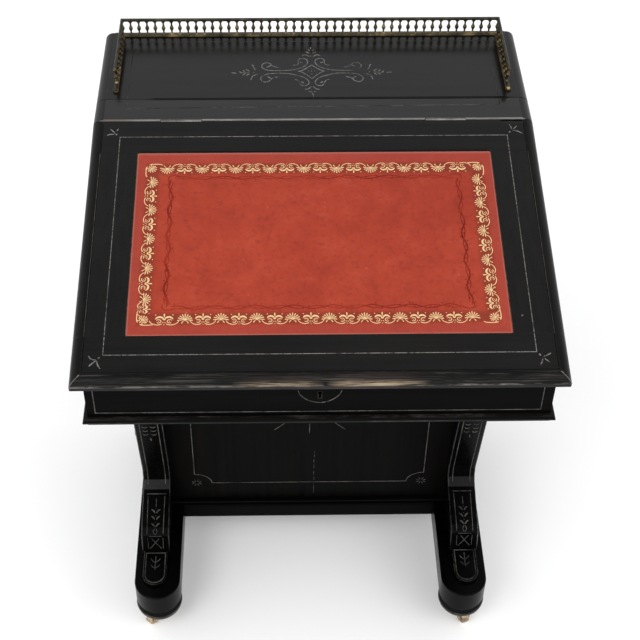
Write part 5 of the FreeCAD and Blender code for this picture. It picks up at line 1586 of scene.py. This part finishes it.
def support_piece(sign, node, mats):
    cx, hw, c = sign * (214.6 + 256.6) / 2, 21.0, 1.6
    st = [np.array(p, float) for p in round_path(SUPP, 1.5)]
    clean = [st[0]]
    for p in st[1:]:
        if np.linalg.norm(p - clean[-1]) > 0.02:
            clean.append(p)
    st = clean
    n = len(st)
    seg = [(st[i + 1] - st[i]) / np.linalg.norm(st[i + 1] - st[i]) for i in range(n - 1)]
    nrm = [np.array([d[1], -d[0]]) for d in seg]
    S = [0.0]
    for i in range(n - 1):
        S.append(S[-1] + float(np.linalg.norm(st[i + 1] - st[i])))
    near = min(range(n), key=lambda i: np.linalg.norm(st[i] - np.array(S_ORIGIN)))
    S = [s - S[near] for s in S]
    mit = []
    for i in range(n):
        a, b = nrm[max(i - 1, 0)], nrm[min(i, n - 2)]
        m = (a + b) / np.linalg.norm(a + b)
        if i == 0:
            mit.append(np.array([nrm[0][0], 0.0]))       # stay on the top plane
        elif i == n - 1:
            mit.append(np.array([nrm[-1][0], 0.0]))
        else:
            mit.append(m / max(0.5, float(m @ b)))
    bm = bmesh.new()
    K = 3
    rows = []
    for i in range(n):
        left, right = [], []
        for k in range(K + 1):
            ph = math.radians(90 * k / K)
            chx, chd = 1 - k / K, 1 - k / K
            dx = 0.5 * math.cos(ph) + 0.5 * chx
            dd = 0.5 * (1 - math.sin(ph)) + 0.5 * chd
            p = st[i] - mit[i] * (c * dd)
            x = hw - c + c * dx
            left.append(bm.verts.new(P(cx - x, p[0], p[1])))
            right.append(bm.verts.new(P(cx + x, p[0], p[1])))
        rows.append((left, right))
    for i in range(n - 1):
        for k in range(K):
            for side, flip in ((0, False), (1, True)):
                a, b = rows[i][side], rows[i + 1][side]
                q = [a[k], a[k + 1], b[k + 1], b[k]]
                f = bm.faces.new(q if flip else q[::-1])
                f.material_index = 1
    # the engraved front
    strokes = support_strokes()
    fx = hw - c
    flat = [(-fx, S[i]) for i in range(n)] + [(fx, S[i]) for i in range(n)]
    edges = [(i, i + 1) for i in range(n - 1)] + [(n + i, n + i + 1) for i in range(n - 1)] + [(i, n + i) for i in range(n)]
    pts, src, tris = cdt(flat, edges, strokes)
    field = Field(strokes)
    depth = field.at(pts)
    depth[depth < 0.02] = 0
    tri = np.array(tris)
    cdep = field.at(pts[tri].mean(1))
    Sa = np.array(S)
    verts = []
    for i, q in enumerate(pts):
        if src[i] >= 0:
            j = src[i]
            verts.append(rows[j][0][K] if j < n else rows[j - n][1][K])
            continue
        k = int(np.clip(np.searchsorted(Sa, q[1]) - 1, 0, n - 2))
        t = (q[1] - S[k]) / (S[k + 1] - S[k])
        p = st[k] * (1 - t) + st[k + 1] * t - nrm[k] * (depth[i] * 0.6)
        verts.append(bm.verts.new(P(cx + q[0], p[0], p[1])))
    for t, cd in zip(tris, cdep):
        vs = [verts[i] for i in t]
        if len(set(vs)) < 3:
            continue
        try:
            f = bm.faces.new(vs)
        except ValueError:
            continue
        f.normal_update()
        k = int(np.clip(np.searchsorted(Sa, float(pts[list(t)].mean(0)[1])) - 1, 0, n - 2))
        if f.normal.dot(Vector((0, nrm[k][0], nrm[k][1]))) < 0:
            f.normal_flip()
        # faces turned up and forward take the lighter copy: a painted highlight on the rolls
        f.material_index = 2 if cd > 0.03 else 3 if 0.45 < nrm[k][1] < 0.80 else 0
    # sides, back, top and bottom
    back = [(313.0, 94.0), (313.0, 99.0), (321.0, 99.0), (321.0, 646.7)]
    bl = [bm.verts.new(P(cx - hw, *q)) for q in back]
    br = [bm.verts.new(P(cx + hw, *q)) for q in back]
    for loop, x0 in (([rows[i][0][0] for i in range(n)] + bl, cx - hw), ([rows[i][1][0] for i in range(n)] + br, cx + hw)):
        # the outline is hollow, so it is cut into triangles instead of being left as one face
        flat2 = [(v.co.y * 1000 + MID, v.co.z * 1000) for v in loop]
        ring = [(i, (i + 1) % len(loop)) for i in range(len(loop))]
        p2, s2, t2 = cdt(flat2, ring, [])
        segs2 = np.array([[flat2[a], flat2[b]] for a, b in ring])
        keep2 = inside(p2[np.array(t2)].mean(1), segs2)
        vs2 = [loop[s2[i]] if s2[i] >= 0 else bm.verts.new(P(x0, p2[i][0], p2[i][1])) for i in range(len(p2))]
        for t, ok in zip(t2, keep2):
            if ok and len(set(vs2[i] for i in t)) == 3:
                bm.faces.new([vs2[i] for i in t])
    for i in range(3):
        bm.faces.new([bl[i], br[i], br[i + 1], bl[i + 1]])
    bm.faces.new(rows[0][0] + rows[0][1][::-1] + [br[3], bl[3]])
    bm.faces.new(rows[n - 1][0] + rows[n - 1][1][::-1] + [br[0], bl[0]])
    bmesh.ops.recalc_face_normals(bm, faces=bm.faces)
    # raised pad on the toe: its own slab with a rounded rim and a cut line
    half = 18.0
    out = [(-half, 221.0), (-half, 177.0)] + [(-half * math.cos(math.radians(a)), 177.0 - half * math.sin(math.radians(a)))
                                             for a in range(9, 180, 9)] + [(half, 177.0), (half, 221.0)]
    levels = [(0.0, 94.0), (0.0, 98.9), (0.30, 99.62), (1.05, 100.0)]
    loops = []
    for off, z in levels:
        k = (half - off) / half
        loop = []
        for x, y in out:
            yy = 177.0 + (y - 177.0) * k if y < 177.0 else y
            loop.append(bm.verts.new(P(cx + x * k, yy, z)))
        loops.append(loop)
    m = len(out)
    for a, b in zip(loops, loops[1:]):
        for i in range(m):
            j = (i + 1) % m
            f = bm.faces.new([a[i], a[j], b[j], b[i]])
            f.material_index = 1 if a is not loops[0] else 0
    bm.faces.new(loops[0][::-1])
    top = bm.faces.new(loops[-1])
    top.normal_update()
    if top.normal.z < 0:
        top.normal_flip()
    U = [(-14.6, 200.0), (-14.6, 177.0)] + [(-14.6 * math.cos(math.radians(a)), 177.0 - 14.4 * math.sin(math.radians(a))) for a in range(15, 180, 15)] \
        + [(14.6, 177.0), (14.6, 200.0)]
    pad = [Stroke([(x, y - MID) for x, y in U + [(14.6, 215.5), (-14.6, 215.5)]], w=1.5, closed=True),
           Stroke([(0, 211.0 - MID), (0.3, 203.0 - MID), (-0.2, 194.0 - MID), (0, 184.5 - MID)], w=1.4, taper=2),
           Stroke([(0, 198.0 - MID), (4.4, 201.5 - MID), (7.8, 206.5 - MID)], w=1.3, smooth=True, shape=lf, taper=1.5),
           Stroke([(0, 198.0 - MID), (-4.4, 201.5 - MID), (-7.8, 206.5 - MID)], w=1.3, smooth=True, shape=lf, taper=1.5),
           Stroke([(0, 188.5 - MID), (4.2, 191.0 - MID), (7.0, 195.0 - MID)], w=1.2, smooth=True, shape=lf, taper=1.5),
           Stroke([(0, 188.5 - MID), (-4.2, 191.0 - MID), (-7.0, 195.0 - MID)], w=1.2, smooth=True, shape=lf, taper=1.5)]
    engrave(bm, Vector((cx / 1000, 0, 0.100)), X, Y, pad, 0.5, 2)
    return finish_mesh(bm, node + ".carved", "carcass", mats, (node,), cut=2)


supp_m = [ebony("z", 0.035, 0.22, 0.25, shift=0.55), worn_edge("z", 0.60, 0.20, (0.036, 0.034, 0.032), (0.14, 0.135, 0.126)), incised("z", 0.36, 0.6),
          ebony("z", 0.12, 0.24, 0.6, shift=0.55)]        # the up-facing rolls of the steps: a lighter, glossier copy of the ebony, a painted highlight
support_piece(-1, "support_left", supp_m)
support_piece(1, "support_right", supp_m)

# ------------------------------------------------------------------ brass gallery
aged = metal("aged_brass", (0.082, 0.064, 0.034), (0.022, 0.018, 0.012), (0.36, 0.265, 0.120), 0.30, 1.0, 1.0, 0.85)
aged_dark = metal("aged_brass_dark", (0.050, 0.047, 0.035), (0.018, 0.017, 0.014), (0.15, 0.13, 0.08), 0.40, 1.0, 1.0, 0.8)
bare = metal("rubbed_brass", (0.46, 0.36, 0.17), (0.16, 0.12, 0.06), (0.78, 0.64, 0.36), 0.30, 1.0, 1.0, 0.5)
bronze = metal("black_bronze", (0.0042, 0.0040, 0.0037), (0.0022, 0.0021, 0.0020), (0.050, 0.047, 0.042), 0.42, 0.95, 2.0, 0.75)
GX, GY = 250.6, 559.4
base_prof = [(-2.6, 802.7), (2.6, 802.7), (3.0, 803.0), (3.0, 803.9), (2.75, 804.25), (2.3, 804.35), (2.15, 804.6), (2.15, 804.9), (1.9, 805.45),
             (1.3, 805.7), (-1.3, 805.7), (-1.9, 805.45), (-2.15, 804.9), (-2.15, 804.6), (-2.3, 804.35), (-2.75, 804.25), (-3.0, 803.9), (-3.0, 803.0)]
top_prof = [(-1.5, 826.1), (1.5, 826.1), (1.85, 826.35), (1.9, 826.9), (1.65, 827.25), (1.75, 827.7), (1.9, 828.3), (1.8, 829.0), (1.35, 829.5),
            (0.6, 829.7), (-0.6, 829.7), (-1.35, 829.5), (-1.8, 829.0), (-1.9, 828.3), (-1.75, 827.7), (-1.65, 827.25), (-1.9, 826.9), (-1.85, 826.35)]


def gallery_path(end):
    return lambda o: [(-(GX + o), end), (-(GX + o), GY + o), (GX + o, GY + o), (GX + o, end)]


g1 = bmesh.new()


def add_sweep(bm, profile, path, mat=0, mat_of=None):
    n = len(path(0.0))
    rows = [[bm.verts.new(P(*path(o)[k], z)) for o, z in profile] for k in range(n)]
    m = len(profile)
    fs = []
    for k in range(n - 1):
        for i in range(m):
            f = bm.faces.new([rows[k][i], rows[k][(i + 1) % m], rows[k + 1][(i + 1) % m], rows[k + 1][i]])
            f.material_index = mat_of(i) if mat_of else mat
            fs.append(f)
    fs.append(bm.faces.new(rows[0][::-1]))
    fs.append(bm.faces.new(rows[-1]))
    return fs


for f in add_sweep(g1, base_prof, gallery_path(436.0))[:len(base_prof)]:
    f.material_index = 4          # the left side is browner than the rest
for f in add_sweep(g1, top_prof, gallery_path(446.5), 2)[-2:]:
    f.material_index = 3          # sawn ends of the top rail, rubbed bright
LUG = 434.0
for sx in (-1, 1):
    # round lug with a countersunk hole; the right one keeps its screw
    p = P(sx * GX, LUG, 802.7)
    if sx > 0:
        lathe(g1, [(0, 0), (3.55, 0), (3.7, 0.3), (3.7, 2.3), (3.45, 2.75), (2.9, 3.0), (2.3, 3.0), (2.2, 2.85), (0, 2.85)], p, Z, 28)
        lathe(g1, [(0, 2.6), (2.1, 2.6), (2.2, 3.0), (2.15, 3.35), (1.85, 3.75), (1.2, 4.05), (0.5, 4.19), (0, 4.2)], p, Z, 28, mat=3)
    else:
        lathe(g1, [(0, 0), (3.55, 0), (3.7, 0.3), (3.7, 2.3), (3.45, 2.75), (2.9, 3.0), (2.2, 3.0), (1.5, 2.2), (1.3, 1.6), (1.3, 0.5), (0, 0.5)],
              p, Z, 28, mat_of=lambda j: 1 if j >= 7 else 4)
bmesh.ops.recalc_face_normals(g1, faces=g1.faces)
hole = Mat("screw_hole")
_h = hole.noise(hole.mapped((600,) * 3), 1.0, 2, 0.5)
hole.set(Base_Color=hole.ramp(_h, [(0.3, (0.004, 0.004, 0.004)), (0.7, (0.02, 0.016, 0.012))]), Roughness=0.8)
brown = metal("aged_brass_brown", (0.052, 0.036, 0.024), (0.017, 0.012, 0.009), (0.20, 0.125, 0.075), 0.36, 1.0, 1.0, 0.85)
finish_mesh(g1, "gallery_rails.cast", "flap", [aged, hole.view((0.01, 0.01, 0.01)), aged_dark, bare, brown], ("gallery_rails",), sharp=50, cut=None)

SPIN = [(2.75, 0.0), (2.9, 0.35), (2.75, 0.95), (2.05, 1.5), (1.45, 2.4), (1.12, 3.7), (1.05, 4.9), (1.35, 5.5), (1.6, 5.8), (1.35, 6.15),
        (1.55, 6.7), (2.25, 7.6), (2.72, 8.8), (2.78, 9.8), (2.45, 11.1), (1.75, 12.4), (1.30, 13.1), (1.55, 13.5), (1.30, 13.9), (1.10, 14.8),
        (1.12, 16.2), (1.45, 17.6), (2.05, 18.6), (2.65, 19.3), (2.85, 19.9), (2.75, 20.4)]


def spindle_mesh(bm, x, y, turn):
    lathe(bm, [(0, 0)] + SPIN + [(0, 20.4)], P(x, y, 805.7), Z, 14)


g2 = bmesh.new()
for i in range(47):
    spindle_mesh(g2, -GX + 2 * GX * i / 46, GY, 0)
for sx in (-1, 1):
    for j in range(10):
        spindle_mesh(g2, sx * GX, 449.1 + (GY - 449.1) * j / 10, 0)
bmesh.ops.recalc_face_normals(g2, faces=g2.faces)
finish_mesh(g2, "gallery_spindles.turned", "flap", [aged], ("gallery_spindles",), sharp=70, weighted=False, cut=None)

# ------------------------------------------------------------------ castors, hinges, lock and the inside
bright = metal("castor_brass", (0.40, 0.31, 0.20), (0.13, 0.085, 0.055), (0.74, 0.62, 0.44), 0.32, 1.0, 1.0, 0.55)
iron = metal("hinge_steel", (0.20, 0.195, 0.185), (0.075, 0.068, 0.062), (0.33, 0.32, 0.30), 0.44, 0.95, 1.0, 0.5)
for c in ("front_left", "front_right", "back_left", "back_right"):
    refine("castor_%s_horn" % c, [bright, bright], bevel=0.3, segs=2, cut=9)
    paint("castor_%s_wheel" % c, bright)
paint("castor_plates", bright)
for nm in ("hinge_fixed_leaves_and_pins", "lid_hinge_leaves", "flap_hinge_leaves"):
    paint(nm, iron)
paint("key_escutcheon", bronze)
for nm in ("lid_strike_plate", "lock_bolt", "lock_body"):
    paint(nm, aged)
inner = wood("mahogany", (0.23, 0.092, 0.038), (0.095, 0.034, 0.015), "x")
for nm in ("letter_rack", "well_drawer_case"):
    paint(nm, inner)
for nm in ("well_drawer_left", "well_drawer_right"):
    refine(nm, [inner, wood("mahogany_edge", (0.28, 0.125, 0.055), (0.13, 0.05, 0.022), "x")], bevel=0.4, cut=9)


# ------------------------------------------------------------------ floor, light and finish
def stage_and_light():
    bm = bmesh.new()
    n, h = 24, 7.0
    g = [[bm.verts.new((-h + 2 * h * i / n, -h + 2 * h * j / n, 0.0)) for i in range(n + 1)] for j in range(n + 1)]
    for j in range(n):
        for i in range(n):
            bm.faces.new([g[j][i], g[j][i + 1], g[j + 1][i + 1], g[j + 1][i]])
    me = bpy.data.meshes.new("floor")
    bm.to_mesh(me)
    bm.free()
    floor = bpy.data.objects.new("floor", me)
    bpy.context.scene.collection.objects.link(floor)
    m = Mat("pale_floor")
    a = m.noise(m.mapped((1.3, 1.3, 1.3)), 1.0, 3, 0.5)
    m.set(Base_Color=m.ramp(a, [(0.3, (0.90, 0.90, 0.90)), (0.7, (0.93, 0.93, 0.93))]), Roughness=0.75, Specular_IOR_Level=0.2)
    me.materials.append(m.view((0.8, 0.8, 0.8)))
    w = bpy.data.worlds.new("studio")
    bpy.context.scene.world = w
    w.use_nodes = True
    nt = w.node_tree
    nt.nodes.clear()
    tc = nt.nodes.new("ShaderNodeTexCoord")
    sep = nt.nodes.new("ShaderNodeSeparateXYZ")
    rp = nt.nodes.new("ShaderNodeValToRGB")
    bg = nt.nodes.new("ShaderNodeBackground")
    out = nt.nodes.new("ShaderNodeOutputWorld")
    nt.links.new(tc.outputs["Generated"], sep.inputs[0])
    nt.links.new(sep.outputs["Z"], rp.inputs["Fac"])
    els = rp.color_ramp.elements
    stops = [(0.0, 1.0), (0.70, 1.0), (0.86, 0.62), (0.914, 0.45), (1.0, 0.45)]
    while len(els) < len(stops):
        els.new(0.5)
    for e, (pos, v) in zip(els, stops):
        e.position = pos
        e.color = (v, v, v * 1.01, 1)
    # the studio is brighter on the writer's side
    near = nt.nodes.new("ShaderNodeMapRange")
    near.clamp = True
    near.inputs["From Min"].default_value = 0.25
    near.inputs["From Max"].default_value = -0.25
    nt.links.new(sep.outputs["Y"], near.inputs["Value"])
    both = nt.nodes.new("ShaderNodeMixRGB")
    both.inputs["Color2"].default_value = (1.5, 1.5, 1.5, 1)
    nt.links.new(near.outputs["Result"], both.inputs["Fac"])
    nt.links.new(rp.outputs["Color"], both.inputs["Color1"])
    nt.links.new(both.outputs["Color"], bg.inputs["Color"])
    bg.inputs["Strength"].default_value = 1.0
    nt.links.new(bg.outputs["Background"], out.inputs["Surface"])

    def area(name, loc, aim, size, power, colour=(1, 1, 1)):
        li = bpy.data.lights.new(name, "AREA")
        li.shape = "RECTANGLE"
        li.size, li.size_y = size
        li.energy = power
        li.color = colour
        o = bpy.data.objects.new(name, li)
        bpy.context.scene.collection.objects.link(o)
        o.location = loc
        d = Vector(aim) - Vector(loc)
        o.rotation_euler = d.to_track_quat("-Z", "Y").to_euler()
    area("key", (-1.5, -1.9, 2.6), (0, -0.05, 0.45), (1.5, 1.2), 26)
    area("fill", (2.0, -1.2, 1.8), (0, 0, 0.4), (1.4, 1.4), 10)
    s = bpy.context.scene
    s.view_settings.view_transform = "Standard"
    s.view_settings.look = "None"
    s.view_settings.exposure = 0.0
    s.view_settings.gamma = 1.0


stage_and_light()
